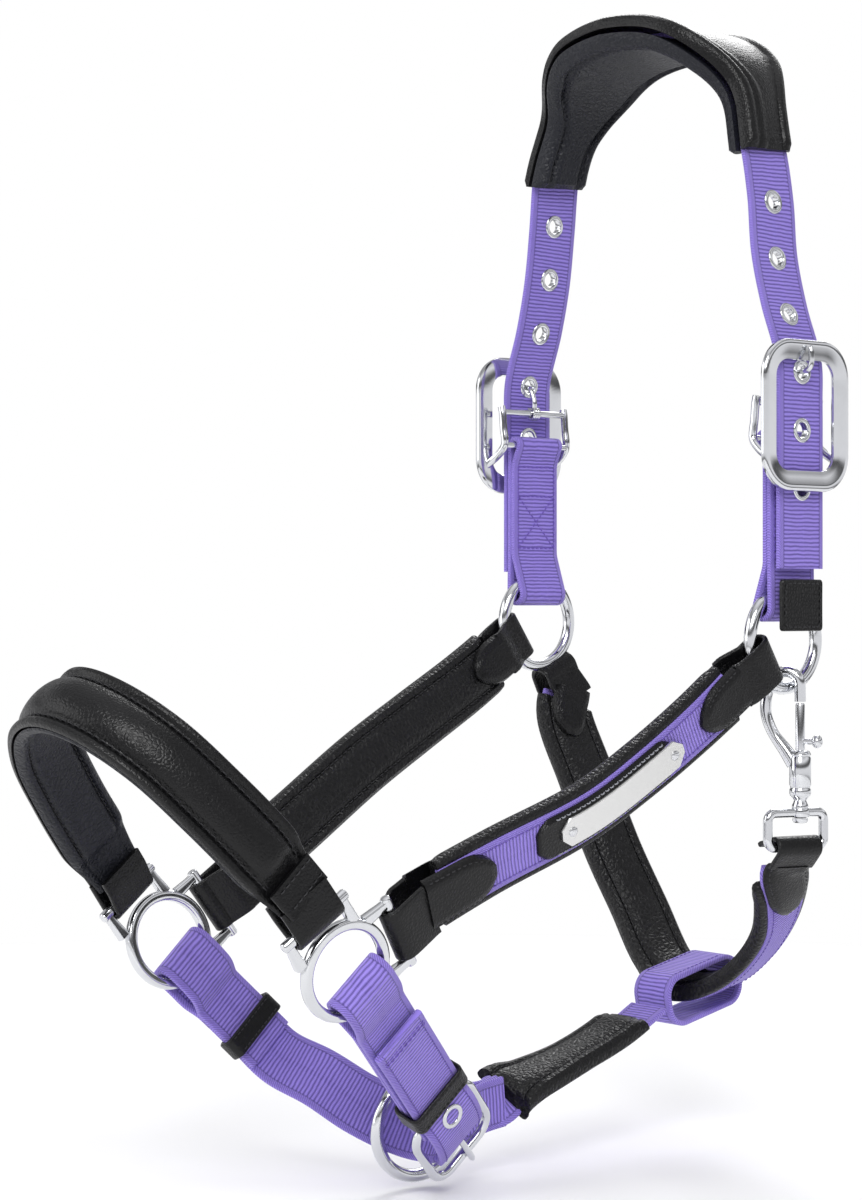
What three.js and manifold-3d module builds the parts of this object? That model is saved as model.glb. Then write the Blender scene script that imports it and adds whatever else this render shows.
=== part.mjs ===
// A padded horse headcollar: ribbed webbing and padded leather straps joined by metal rings, square
// fittings, roller-free tongue buckles and a bolt snap at the throat.
// Frame: millimetres, +X towards the tail, -Y the near (left) side, +Z up. The origin is the poll: the
// middle of the crown pad's underside, where the horse's head carries the headcollar.
import * as THREE from 'three';
import { mergeVertices } from 'three/addons/utils/BufferGeometryUtils.js';
import Module from 'manifold-3d';

const wasm = await Module();
wasm.setup();

const V = (x, y, z) => new THREE.Vector3(x, y, z);

// ---- driving dimensions -------------------------------------------------------------------------
const GAP = 0.3;               // clearance kept between pieces that touch
const WEB = 2.2;               // thickness of the webbing
const CROWN_WIDTH = 25;        // webbing of the crown and of the chin strap
const CHEEK_WIDTH = 20;        // webbing sewn to the padded cheek and throat straps
const PAD_WIDTH = 26;          // padding of the cheek and throat straps
const PAD_DEPTH = 5.5;         // thickness of that padding
const LEATHER = 2;             // thickness of leather folds and tabs
const RING_RADIUS = 18.5;      // rings, to the middle of the wire
const RING_WIRE = 2.5;         // radius of the ring wire
const FIT_HOLE = 14.5;         // radius of the square fitting's round eye
const FIT_RIM = 4;             // width of metal round that eye
const FIT_THICK = 4;
const FIT_BAR = 24.6;          // from the eye's centre to the middle of a strap bar
const EYELET_HOLE = 3;
const EYELET_PROUD = 1.2;      // how far an eyelet stands out of the webbing
const EYELET_PITCH = 22.3;

const COLOUR = {
  webbing: ['#8069c4', 0.85, 0],
  leather: ['#17171a', 0.5, 0],
  lining: ['#1e1e24', 0.6, 0],
  chrome: ['#c9ccd1', 0.15, 1],
};

// ---- geometry helpers ---------------------------------------------------------------------------
function flipWinding(geometry) {
  const index = geometry.index.array;
  for (let i = 0; i < index.length; i += 3) [index[i], index[i + 1]] = [index[i + 1], index[i]];
  return geometry;
}

function bare(geometry) {
  geometry.deleteAttribute('normal');
  geometry.deleteAttribute('uv');
  return mergeVertices(geometry, 1e-4);
}

// Moves a geometry by a matrix and keeps its faces pointing out when the matrix mirrors it.
function placed(geometry, matrix) {
  const moved = bare(geometry.clone());
  moved.applyMatrix4(matrix);
  return matrix.determinant() < 0 ? flipWinding(moved) : moved;
}

function basis(origin, x, y, z) {
  return new THREE.Matrix4().makeBasis(x, y, z).setPosition(origin);
}

function toSolid(geometry) {
  const merged = bare(geometry.clone());
  return new wasm.Manifold(new wasm.Mesh({
    numProp: 3,
    vertProperties: new Float32Array(merged.attributes.position.array),
    triVerts: new Uint32Array(merged.index.array),
  }));
}

function toGeometry(solid) {
  const mesh = solid.getMesh();
  const geometry = new THREE.BufferGeometry();
  geometry.setAttribute('position', new THREE.BufferAttribute(new Float32Array(mesh.vertProperties), 3));
  geometry.setIndex(new THREE.BufferAttribute(new Uint32Array(mesh.triVerts), 1));
  return geometry;
}

function join(...geometries) {
  return toGeometry(geometries.map(toSolid).reduce((a, b) => a.add(b)));
}

function cut(geometry, ...tools) {
  return toGeometry(tools.map(toSolid).reduce((a, b) => a.subtract(b), toSolid(geometry)));
}

function polygon(points, holes = []) {
  const shape = new THREE.Shape(points.map(([x, y]) => new THREE.Vector2(x, y)));
  shape.holes = holes.map((hole) => new THREE.Path(hole.map(([x, y]) => new THREE.Vector2(x, y))));
  return shape;
}

function rectangle(left, right, low, high) {
  return polygon([[left, low], [right, low], [right, high], [left, high]]);
}

function arcPoints(x, y, radius, from, to, count) {
  return Array.from({ length: count + 1 }, (_, i) => {
    const angle = THREE.MathUtils.degToRad(from + ((to - from) * i) / count);
    return [x + radius * Math.cos(angle), y + radius * Math.sin(angle)];
  });
}

function roundedRectangle(width, height, radius, steps = 4) {
  const x = width / 2 - radius;
  const y = height / 2 - radius;
  return [
    ...arcPoints(x, y, radius, 0, 90, steps),
    ...arcPoints(-x, y, radius, 90, 180, steps),
    ...arcPoints(-x, -y, radius, 180, 270, steps),
    ...arcPoints(x, -y, radius, 270, 360, steps),
  ];
}

// A shape drawn in (x, y), given a depth centred on its own plane.
function prism(shape, depth) {
  const geometry = new THREE.ExtrudeGeometry(shape, { depth, bevelEnabled: false });
  return geometry.translate(0, 0, -depth / 2);
}

// A rod between two points.
function rod(from, to, radius, sides = 10) {
  const length = from.distanceTo(to);
  const geometry = new THREE.CylinderGeometry(radius, radius, length, sides);
  const turn = new THREE.Quaternion().setFromUnitVectors(V(0, 1, 0), to.clone().sub(from).normalize());
  geometry.applyQuaternion(turn);
  return geometry.translate(...from.clone().add(to).multiplyScalar(0.5));
}

// ---- straps -------------------------------------------------------------------------------------
// A strap's route: points along its middle and, at each, the direction its outer face looks.
function makeRoute(points, facing) {
  const middle = new THREE.CatmullRomCurve3(points.map((p) => V(...p)), false, 'centripetal');
  const looks = new THREE.CatmullRomCurve3(facing.map((f) => V(...f)), false, 'centripetal');
  return (t) => {
    const at = middle.getPoint(t);
    const along = middle.getTangent(t);
    const across = looks.getPoint(t).cross(along).normalize();
    const out = along.clone().cross(across);
    return { at, along, across, out };
  };
}

// Bends a strap section (x across the strap, y out of its face) along a route.
// narrow(t) scales the width along the strap, and shift(t) moves the section across it.
function strap(
  section, route, steps,
  { from = 0, to = 1, narrow = () => 1, thin = () => 1, shift = () => 0 } = {},
) {
  const geometry = new THREE.ExtrudeGeometry(section, { depth: 1, steps, bevelEnabled: false });
  const position = geometry.attributes.position;
  for (let i = 0; i < position.count; i += 1) {
    const t = from + (to - from) * position.getZ(i);
    const { at, across, out } = route(t);
    at.addScaledVector(across, position.getX(i) * narrow(t) + shift(t));
    at.addScaledVector(out, position.getY(i) * thin(t));
    position.setXYZ(i, at.x, at.y, at.z);
  }
  return bare(geometry);
}

// Padding with rolled edges: the rolls rise beside the webbing that lies on the pad.
function padSection(width, depth, webWidth, webHalf) {
  const edge = width / 2;
  const bed = webWidth / 2 + 0.4;
  const top = -webHalf - GAP;
  const low = top - depth;
  return polygon([
    [-edge, low + 2], [-edge + 2, low], [edge - 2, low], [edge, low + 2], [edge, top + 1.2],
    [edge - 1, top + 2], [bed, top + 2], [bed, top], [-bed, top], [-bed, top + 2], [-edge + 1, top + 2],
    [-edge, top + 1.2],
  ]);
}

// A strip folded round a bar or a ring, seen from its edge. The fold lies round (0, 0); the legs run
// along +x to their ends, one above the strap's stack of layers and one below it.
function foldOutline({ eye, reach, thick, upper, lower, upperEnd, lowerEnd }) {
  const outer = eye + thick;
  const straight = (radius) => (reach > 0 ? [[0, radius]] : []);
  return polygon([
    [upperEnd, upper], [upperEnd, upper + thick], [outer + 4, upper + thick], ...straight(outer),
    ...arcPoints(-reach, 0, outer, 90, 270, 6),
    ...straight(-outer), [outer + 4, lower - thick], [lowerEnd, lower - thick], [lowerEnd, lower],
    [outer + 4, lower], ...straight(-eye),
    ...arcPoints(-reach, 0, eye, 270, 90, 6),
    ...straight(eye), [outer + 4, upper],
  ]);
}

// Puts an edge-on outline into a strap's frame: x along the strap, y out of its face.
function foldAt(outline, width, at, along, out) {
  const x = along.clone().normalize();
  const z = x.clone().cross(out).normalize();
  const y = z.clone().cross(x);
  return placed(prism(outline, width), basis(at, x, y, z));
}

// ---- places shared by several pieces ------------------------------------------------------------
// Each side has its own slack, so the near ring hangs a little lower than the far one.
const SIDES = {
  near: { y: -1, ring: V(0, -70.5, -233.4), frameZ: -147.5 },
  far: { y: 1, ring: V(0, 70.5, -227.4), frameZ: -143.5 },
};
const EYE = (y) => V(-200.8, 53.2 * y, -344.5);      // centre of a square fitting's round eye

const root = new THREE.Group();

function add(name, geometry, [colour, roughness, metalness]) {
  const mesh = new THREE.Mesh(geometry, new THREE.MeshStandardMaterial({ color: colour, roughness, metalness }));
  mesh.name = name;
  root.add(mesh);
  return mesh;
}

// ---- crown: pad, webbing, eyelets ---------------------------------------------------------------
// The crown webbing runs from the near tail's end up over the poll and down to the far tail's end.
const CROWN_HALF = [
  [1, -78, -206], [1, -78, -178], [1, -78, -142], [1, -77.5, -126], [1, -70, -104], [1, -65, -84],
  [1.5, -62.5, -62], [0.5, -59, -40], [-1, -53, -21], [-2, -43, -6], [-2, -27, 4.5],
];
const CROWN_TOP = [-2, 0, 8.5];
const mirrorY = ([x, y, z]) => [x, -y, z];
const CROWN_FACING_HALF = [
  [0, -1, 0], [0, -1, 0], [0, -1, 0], [0, -1, 0.1], [0, -1, 0.25], [0, -1, 0.12],
  [0, -1, 0.13], [0, -0.96, 0.28], [0, -0.85, 0.52], [0, -0.62, 0.78], [0, -0.3, 0.95],
];
const crownRoute = makeRoute(
  [...CROWN_HALF, CROWN_TOP, ...[...CROWN_HALF].reverse().map(mirrorY)],
  [...CROWN_FACING_HALF, [0, 0, 1], ...[...CROWN_FACING_HALF].reverse().map(mirrorY)],
);
const PAD_START = 0.31;        // where the pad begins along the crown webbing, as a share of the route

// The pad is widest over the poll, and its front edge is cut back behind the ears.
function padWidth(t) {
  const u = Math.abs((t - 0.5) / (0.5 - PAD_START));     // 0 at the poll, 1 at the pad's ends
  return THREE.MathUtils.lerp(1, 0.5, THREE.MathUtils.smoothstep(u, 0.25, 0.8));
}
const POLL_WIDTH = 56;

function padLayer(low, high, edge) {
  const half = POLL_WIDTH / 2;
  const section = polygon([
    [-half, low + edge], [-half + edge, low], [half - edge, low], [half, low + edge],
    [half, high - 0.8], [half - 1.5, high], [-half + 1.5, high], [-half, high - 0.8],
  ]);
  return strap(section, crownRoute, 26, { from: PAD_START, to: 1 - PAD_START, narrow: padWidth });
}

function hole(at, out, radius, depth = 12) {
  const reach = out.clone().multiplyScalar(depth / 2);
  return rod(at.clone().sub(reach), at.clone().add(reach), radius, 12);
}

function eyeletGeometry({ at, along, across, out }, half) {
  const inner = EYELET_HOLE;
  const barrel = inner + 0.5;
  const rim = inner + 1.8;
  const face = half + 2 * GAP;
  const profile = [
    [inner, -half - EYELET_PROUD], [rim, -half - EYELET_PROUD], [rim, -face],
    [barrel, -face], [barrel, face], [rim, face],
    [rim, half + EYELET_PROUD], [inner, half + EYELET_PROUD], [inner, -half - EYELET_PROUD],
  ];
  const lathe = new THREE.LatheGeometry(profile.map(([x, y]) => new THREE.Vector2(x, y)), 12);
  return placed(lathe, basis(at, along, out, along.clone().cross(out)));
}

// Finds how far along a route a height is first reached, between two shares of the route.
function shareAtHeight(route, z, low, high) {
  let [a, b] = [low, high];
  const rising = route(high).at.z > route(low).at.z;
  for (let i = 0; i < 40; i += 1) {
    const middle = (a + b) / 2;
    if ((route(middle).at.z < z) === rising) a = middle;
    else b = middle;
  }
  return a;
}

const EYELET_COUNT = 6;
function eyeletShares(top) {
  const heights = Array.from({ length: EYELET_COUNT }, (_, i) => top - EYELET_PITCH * i);
  return heights.map((z) => shareAtHeight(crownRoute, z, 0, 0.4));
}
const nearEyelets = eyeletShares(-63.8);
const farEyelets = eyeletShares(-59.8).map((t) => 1 - t);

function crownPieces() {
  add('crown_pad_outer', padLayer(WEB / 2 + GAP, WEB / 2 + GAP + 3, 0.8), COLOUR.leather);
  add('crown_pad_lining', padLayer(-WEB / 2 - GAP - 7, -WEB / 2 - GAP, 2.5), COLOUR.lining);
  const half = WEB / 2;
  const web = strap(rectangle(-CROWN_WIDTH / 2, CROWN_WIDTH / 2, -half, half), crownRoute, 56);
  const shares = [...nearEyelets, ...farEyelets];
  const holes = shares.map((t) => hole(crownRoute(t).at, crownRoute(t).out, EYELET_HOLE + 0.9));
  add('crown_strap', cut(web, ...holes), COLOUR.webbing);
  nearEyelets.slice(0, 5).forEach((t, i) => {
    add(`near_eyelet_${i + 1}`, eyeletGeometry(crownRoute(t), half), COLOUR.chrome);
  });
  farEyelets.slice(0, 4).forEach((t, i) => {
    add(`far_eyelet_${i + 1}`, eyeletGeometry(crownRoute(t), half), COLOUR.chrome);
  });
}
crownPieces();

// ---- crown buckles ------------------------------------------------------------------------------
const FRAME_WIDTH = 48;
const FRAME_HEIGHT = 58;
const FRAME_RIM = 8;
const FRAME_THICK = 3;
const CROWN_FACE = 78;         // |y| of the crown tail's middle beside the buckle
const FRAME_IN = CROWN_FACE + WEB / 2 + 1.2;          // |y| of the frame's back face
const BAR_RADIUS = 1.4;
const TONGUE_BAR = 5;          // height of the tongue bar over the frame's centre
const STRAP_BAR = -9;          // height of the strap bar
const TONGUE_BAR_IN = CROWN_FACE - 5.4;               // |y| of the bars
const STRAP_BAR_IN = CROWN_FACE - 6.8;
const RAIL_X = 17.6;

// Buckle parts are drawn looking at the face: x across, y up, z out of the face from |y| = 0.
function buckleMatrix(side) {
  const x = V(1, 0, 0);
  return basis(V(0, 0, side.frameZ), x, V(0, 0, 1), V(0, side.y, 0));
}

function frameGeometry() {
  const rim = polygon(
    roundedRectangle(FRAME_WIDTH, FRAME_HEIGHT, 15, 5),
    [roundedRectangle(FRAME_WIDTH - 2 * FRAME_RIM, FRAME_HEIGHT - 2 * FRAME_RIM, 5, 3)],
  );
  const plate = prism(rim, FRAME_THICK).translate(0, 0, FRAME_IN + FRAME_THICK / 2);
  const pieces = [plate];
  for (const x of [-RAIL_X, RAIL_X]) {
    const foot = FRAME_IN + 1;
    pieces.push(
      rod(V(x, TONGUE_BAR + 1, TONGUE_BAR_IN), V(x, STRAP_BAR - 3, STRAP_BAR_IN), BAR_RADIUS + 0.2, 8),
      rod(V(x, STRAP_BAR - 2.5, STRAP_BAR_IN), V(x + Math.sign(x), STRAP_BAR - 8, foot), BAR_RADIUS + 0.2, 8),
    );
  }
  pieces.push(
    rod(V(-RAIL_X, TONGUE_BAR, TONGUE_BAR_IN), V(RAIL_X, TONGUE_BAR, TONGUE_BAR_IN), BAR_RADIUS, 10),
    rod(V(-RAIL_X, STRAP_BAR, STRAP_BAR_IN), V(RAIL_X, STRAP_BAR, STRAP_BAR_IN), BAR_RADIUS, 10),
  );
  return join(...pieces);
}

// The tongue turns on its bar, rises through an eyelet and rests on the frame's top rim.
function tongueOutline(rise, run, tip) {
  const collar = BAR_RADIUS + 1.7;
  const half = 1.15;
  return polygon([
    ...arcPoints(0, 0, collar, 40, 320, 12),
    [4, -half + 0.4], [11.2, 1], [run + 1.3, rise - half], [tip, rise - half],
    [tip + 0.9, rise], [tip, rise + half], [run - 1, rise + half], [9.6, 2.6],
  ], [arcPoints(0, 0, BAR_RADIUS + 0.35, 0, 330, 11)]);
}

function crownTongue() {
  const rise = FRAME_IN + FRAME_THICK + 0.4 + 1.15 - TONGUE_BAR_IN;
  const outline = tongueOutline(rise, 14, 21);
  // drawn with x up the strap and y out of the face; turned so that its width runs across
  const turn = basis(V(0, TONGUE_BAR, TONGUE_BAR_IN), V(0, 1, 0), V(0, 0, 1), V(1, 0, 0));
  return placed(prism(outline, 2.2), turn);
}

// The chape folds round the strap bar at its top and round the ring at its foot.
function chapeOutline(side) {
  const top = side.frameZ + STRAP_BAR;
  const ring = side.ring.z + RING_RADIUS;
  const eye = BAR_RADIUS + 0.4;
  const pocket = RING_WIRE + 0.4;
  const barIn = STRAP_BAR_IN;
  const ringIn = Math.abs(side.ring.y);
  const back = CROWN_FACE - WEB / 2 - EYELET_PROUD - GAP;   // outer face of the body, under the tail
  const front = back - 2 * WEB - 0.1;
  const sag = 6.6;                                     // how far the ring curves away at the strap's edges
  return polygon([
      ...arcPoints(barIn, top, eye + WEB, 0, 180, 8),
      [front, top - 9], [front, ring + 9], [ringIn - pocket - WEB, ring + 1],
      ...arcPoints(ringIn, ring - sag, pocket + WEB, 180, 360, 8),
      [ringIn + pocket + WEB, ring + 1.5], [back, ring + 6], [back, top - 6],
    ], [
      arcPoints(barIn, top, eye, 0, 330, 11),
      [
        ...arcPoints(ringIn, ring - sag, pocket, 180, 360, 6),
        ...arcPoints(ringIn, ring + 1, pocket, 0, 180, 6),
      ],
    ]);
}

function crownBuckle(name, side) {
  const m = buckleMatrix(side);
  add(`${name}_buckle_frame`, placed(frameGeometry(), m), COLOUR.chrome);
  add(`${name}_buckle_tongue`, placed(crownTongue(), m), COLOUR.chrome);
  const matrix = basis(V(0, 0, 0), V(0, side.y, 0), V(0, 0, 1), V(1, 0, 0));
  add(`${name}_chape`, placed(prism(chapeOutline(side), CROWN_WIDTH), matrix), COLOUR.webbing);
}
crownBuckle('near', SIDES.near);
crownBuckle('far', SIDES.far);

function ringGeometry(centre, normal) {
  const torus = new THREE.TorusGeometry(RING_RADIUS, RING_WIRE, 8, 28);
  const turn = new THREE.Quaternion().setFromUnitVectors(V(0, 0, 1), normal.clone().normalize());
  return placed(torus, new THREE.Matrix4().compose(centre, turn, V(1, 1, 1)));
}
add('near_ring', ringGeometry(SIDES.near.ring, V(0, -1, 0)), COLOUR.chrome);
add('far_ring', ringGeometry(SIDES.far.ring, V(0, 1, 0)), COLOUR.chrome);

// The blank leather tab hangs over the near ring beside the chape.
add('near_ring_tab', prism(rectangle(-11.5, 11.5, -230, -210), LEATHER).applyMatrix4(
  basis(V(0, -79.7, 0), V(1, 0, 0), V(0, 0, 1), V(0, -1, 0)),
), COLOUR.leather);

// ---- square fittings ----------------------------------------------------------------------------
const NOSE_ANGLE = 127;        // direction from the eye to the noseband bar, in the fitting's plane
const CHEEK_ANGLE = 33;
const FIT_TILT = 11;           // the fitting's top leans outward
const degrees = THREE.MathUtils.degToRad;

// The fitting's own axes: x towards the tail, y up its face, z outward.
function fittingMatrix(y) {
  const lean = degrees(FIT_TILT);
  const up = V(0, y * Math.sin(lean), Math.cos(lean));
  return basis(EYE(y), V(1, 0, 0), up, V(0, y * Math.cos(lean), -Math.sin(lean)));
}

// A strap bar on two arms, `from` and `to` measured along the bar.
function barLoop(angle, from, to) {
  const arm = 3.4;
  const inner = FIT_HOLE + 1;
  const box = (x0, x1, y0, y1, depth) => prism(rectangle(x0, x1, y0, y1), depth);
  const pieces = [
    rod(V(FIT_BAR, from, 0), V(FIT_BAR, to, 0), 2, 10),
    box(inner, FIT_BAR, from + 0.8, from + 0.8 + arm, FIT_THICK - 1),
    box(inner, FIT_BAR, to - 0.8 - arm, to - 0.8, FIT_THICK - 1),
  ];
  return join(...pieces).rotateZ(degrees(angle));
}

function fittingGeometry() {
  const edge = arcPoints(0, 0, FIT_HOLE + FIT_RIM, 0, 345, 23);
  const rim = prism(polygon(edge, [arcPoints(0, 0, FIT_HOLE, 0, 345, 23)]), FIT_THICK);
  return cut(
    join(rim, barLoop(NOSE_ANGLE, -13.5, 16.5), barLoop(CHEEK_ANGLE, -16.5, 13.5)),
    prism(polygon(arcPoints(0, 0, FIT_HOLE, 0, 345, 23)), 12),
  );
}
for (const [name, { y }] of Object.entries(SIDES)) {
  add(`${name}_square_fitting`, placed(fittingGeometry(), fittingMatrix(y)), COLOUR.chrome);
}

// The middle of a fitting's strap bar, and the direction a strap leaves it.
function fittingBar(y, angle, shift) {
  const turn = degrees(angle);
  const matrix = fittingMatrix(y);
  const at = V(FIT_BAR * Math.cos(turn) - shift * Math.sin(turn), FIT_BAR * Math.sin(turn) + shift * Math.cos(turn), 0);
  const along = V(Math.cos(turn), Math.sin(turn), 0).transformDirection(matrix);
  const out = V(0, 0, 1).transformDirection(matrix);
  return { at: at.applyMatrix4(matrix), along, out };
}

// ---- cheek straps -------------------------------------------------------------------------------
// Middle of the webbing from the ring to the fitting; the near strap sags more than the far one.
const CHEEK_ROUTES = {
  near: [
    [-24, -70, -250], [-45, -68.5, -265], [-70, -66.5, -281],
    [-97, -64, -296], [-138, -60, -311.5], [-169.5, -57, -324.3],
  ],
  far: [
    [-25, 70, -241], [-45, 68.5, -253], [-72, 66.5, -267.5],
    [-103, 63.5, -284], [-138, 60, -305], [-169.5, 57, -323.5],
  ],
};
const CHEEK_FACING = [[0, 1, -0.1], [0, 1, -0.22], [0, 1, -0.3], [0, 1, -0.35], [0, 1, -0.3], [0, 1, -0.2]];
const WEB_HALF = WEB / 2;

function cheekRoute(name) {
  const { y } = SIDES[name];
  return makeRoute(CHEEK_ROUTES[name], CHEEK_FACING.map(([a, b, c]) => [a, b * y, c]));
}

const FOLD_OUT = WEB_HALF + GAP;                      // under the outer leg of a leather fold
const FOLD_IN = -WEB_HALF - 2 * GAP - PAD_DEPTH;      // over its inner leg

// A leather fold round metal, whose outer leg runs on over the webbing as a bent tab.
// `at` is the middle of the metal, `along` leads from it to the strap, and `near` is the strap's end there.
function leatherFold({
  width, eye, reach, at, along, near, route, tab, high = FOLD_OUT, low = FOLD_IN, face = near.out,
}) {
  const leg = near.at.clone().sub(at).dot(along) + 2.5;
  const outline = foldOutline({
    eye, reach, thick: LEATHER, upper: high, lower: low, upperEnd: leg, lowerEnd: leg + 2,
  });
  const layer = rectangle(-width / 2, width / 2, high, high + LEATHER);
  return join(foldAt(outline, width, at, along, face), strap(layer, route, 5, tab));
}

const STRAP_START = 0.05;      // where webbing and padding begin and end, as a share of the route

function cheek(name) {
  const side = SIDES[name];
  const route = cheekRoute(name);
  const ends = { from: STRAP_START, to: 1 - STRAP_START };
  const web = rectangle(-CHEEK_WIDTH / 2, CHEEK_WIDTH / 2, -WEB_HALF, WEB_HALF);
  add(`${name}_cheek_webbing`, strap(web, route, 18, ends), COLOUR.webbing);
  const pad = padSection(PAD_WIDTH, PAD_DEPTH, CHEEK_WIDTH, WEB_HALF);
  add(`${name}_cheek_padding`, strap(pad, route, 18, ends), COLOUR.lining);

  const start = route(0);
  const away = start.along;
  const ringAt = start.at.clone().addScaledVector(away, -(start.at.distanceTo(side.ring) - RING_RADIUS));
  add(`${name}_cheek_ring_leather`, leatherFold({
    width: 19, eye: RING_WIRE + 1.2, reach: 3.8, at: ringAt, along: away, near: start, route,
    tab: { from: 0, to: 0.21 },
  }), COLOUR.leather);
  const end = route(1);
  const bar = fittingBar(side.y, CHEEK_ANGLE, -1.5);
  add(`${name}_cheek_bar_leather`, leatherFold({
    width: 20.4, eye: 2.6, reach: 0, at: bar.at, along: bar.along, near: end, route,
    tab: { from: 0.8, to: 1 },
  }), COLOUR.leather);
}
cheek('near');
cheek('far');

// A blank name plate on a leather backing, held by two rivets. The backing lies on the curved webbing,
// so it is bent with the strap, and the stiff plate stands on it.
const PLATE = { length: 64, height: 12, thick: 1, rivet: 27 };

function pointedPlate(length, height, point) {
  const x = length / 2;
  const y = height / 2;
  return polygon([
    [-x, 0], [-x, -y + point], [-x + point, -y], [x - point, -y], [x, -y + point],
    [x, y - point], [x - point, y], [-x + point, y], [-x, y - point],
  ]);
}

function namePlate() {
  const route = cheekRoute('near');
  const backing = rectangle(-8.5, 8.5, WEB_HALF + GAP, WEB_HALF + GAP + 1.6);
  add('plate_backing', strap(backing, route, 8, { from: 0.31, to: 0.72 }), COLOUR.leather);
  const { at, along, across, out } = route(0.5);
  const foot = at.clone().addScaledVector(out, WEB_HALF + 3.9);
  const matrix = basis(foot, along, along.clone().cross(out).negate(), out);
  const plate = pointedPlate(PLATE.length, PLATE.height, 4);
  const rivetHole = (x) => rod(V(x, 0, -3), V(x, 0, 3), 1.3, 8);
  const plateSolid = cut(prism(plate, PLATE.thick), rivetHole(-PLATE.rivet), rivetHole(PLATE.rivet));
  add('name_plate', placed(plateSolid, matrix), COLOUR.chrome);
  for (const [name, x] of [['front', PLATE.rivet], ['rear', -PLATE.rivet]]) {
    const rivet = join(rod(V(x, 0, -0.6), V(x, 0, 1), 1, 8), rod(V(x, 0, 0.8), V(x, 0, 1.5), 1.9, 10));
    add(`plate_rivet_${name}`, placed(rivet, matrix), COLOUR.chrome);
  }
}
namePlate();

// ---- noseband -----------------------------------------------------------------------------------
// The noseband lies in a leaning plane: NOSE_DOWN runs from its front to the fittings.
const NOSE_FRONT = V(-281, 0, -251.5);
const NOSE_DOWN = V(0.665, 0, -0.747);
const NOSE_HALF = [[90, 56.2], [67, 53], [44, 46], [22, 36], [6, 19]];     // down the plane, half-width
const nosePoint = ([down, y]) => NOSE_FRONT.clone().addScaledVector(NOSE_DOWN, down).setY(y).toArray();
const NOSE_ENDS = [[0, 1, 0.1], [0, 1, 0], [-0.1, 1, 0.12], [-0.25, 0.85, 0.3], [-0.5, 0.5, 0.6]];
const noseRoute = makeRoute(
  [...NOSE_HALF.map(([d, y]) => nosePoint([d, -y])), nosePoint([0, 0]), ...[...NOSE_HALF].reverse().map(nosePoint)],
  [...NOSE_ENDS.map(mirrorY), [-0.665, 0, 0.747], ...[...NOSE_ENDS].reverse()],
);
const NOSE_WIDTH = 28;
const noseNarrow = (t) => THREE.MathUtils.lerp(0.76, 1, THREE.MathUtils.smoothstep(0.5 - Math.abs(t - 0.5), 0, 0.1));

const NOSE_END_THICK = 0.32;   // the noseband thins to this share of its depth inside its end folds
const noseThin = (t) => (
  THREE.MathUtils.lerp(NOSE_END_THICK, 1, THREE.MathUtils.smoothstep(0.5 - Math.abs(t - 0.5), 0.055, 0.085))
);

function noseband() {
  const half = NOSE_WIDTH / 2;
  const raised = polygon([
    [-half, 0.4], [half, 0.4], [half, 1.8], [half - 1, 2.4], [8, 2.4], [5.5, 4.6], [2, 5.6],
    [-2, 5.6], [-5.5, 4.6], [-8, 2.4], [-half + 1, 2.4], [-half, 1.8],
  ]);
  const shape = { narrow: noseNarrow, thin: noseThin };
  add('noseband_outer', strap(raised, noseRoute, 34, shape), COLOUR.leather);
  const padding = polygon([
    [-half, -0.4], [-half, -3], [-half + 2.5, -5.5], [half - 2.5, -5.5], [half, -3], [half, -0.4],
  ]);
  add('noseband_lining', strap(padding, noseRoute, 34, shape), COLOUR.lining);
}
noseband();

// A leather fold holds each thin end of the noseband on its fitting's bar.
function nosebandEnd(name, share, tab) {
  const bar = fittingBar(SIDES[name].y, NOSE_ANGLE, 1.5);
  const near = noseRoute(share);
  const barLine = bar.along.clone().cross(bar.out);
  const along = near.at.clone().sub(bar.at).projectOnPlane(barLine).normalize();
  add(`noseband_end_${name}`, leatherFold({
    width: 21, eye: 2.6, reach: 0, at: bar.at, along, near, route: noseRoute, tab, face: bar.out,
    high: 5.6 * NOSE_END_THICK + 3 * GAP, low: -5.5 * NOSE_END_THICK - 6 * GAP,
  }), COLOUR.leather);
}
nosebandEnd('near', 0, { from: 0, to: 0.05 });
nosebandEnd('far', 1, { from: 0.95, to: 1 });

// ---- chin strap ---------------------------------------------------------------------------------
// The near side of the chin strap is a straight stack of layers: u runs from the near fitting's eye
// towards the chin, n out of the stack's face.
const CHIN_ALONG = { near: V(0.696, 0.33, -0.637).normalize(), far: V(0.62, -0.33, -0.71).normalize() };
const EYE_RIM = FIT_HOLE + FIT_RIM / 2;               // middle of the metal round a fitting's eye
const CHIN_BAR = 92;                                  // u of the buckle bar the chape folds round
const CHIN_END = 123;                                 // u of the buckle's outer bar
const CHIN_BAR_RADIUS = 1.6;
const TAIL_N = CHIN_BAR_RADIUS + 0.4 + WEB + GAP + WEB / 2;     // n of the tail's middle over the chape

// The stack starts where the strap crosses the metal of the fitting's eye, and lies across the
// fitting's plane there.
function chinMatrix(name) {
  const along = CHIN_ALONG[name];
  const { y } = SIDES[name];
  const face = V(0, 0, 1).transformDirection(fittingMatrix(y));
  const inPlane = along.clone().addScaledVector(face, -along.dot(face)).normalize();
  const origin = EYE(y).addScaledVector(inPlane, EYE_RIM).addScaledVector(along, -EYE_RIM);
  const across = along.clone().cross(face).normalize();
  return basis(origin, along, across.clone().cross(along), across);
}
const chinPoint = (name, u, n) => V(u, n, 0).applyMatrix4(chinMatrix(name)).toArray();
const chinLook = (name) => V(0, 1, 0).transformDirection(chinMatrix(name)).toArray();

// A loop of webbing folded round the metal of a fitting's eye at one end.
const RIM_FOLD = { eye: 3.6, reach: 6.4, drop: -0.6 };

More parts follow.
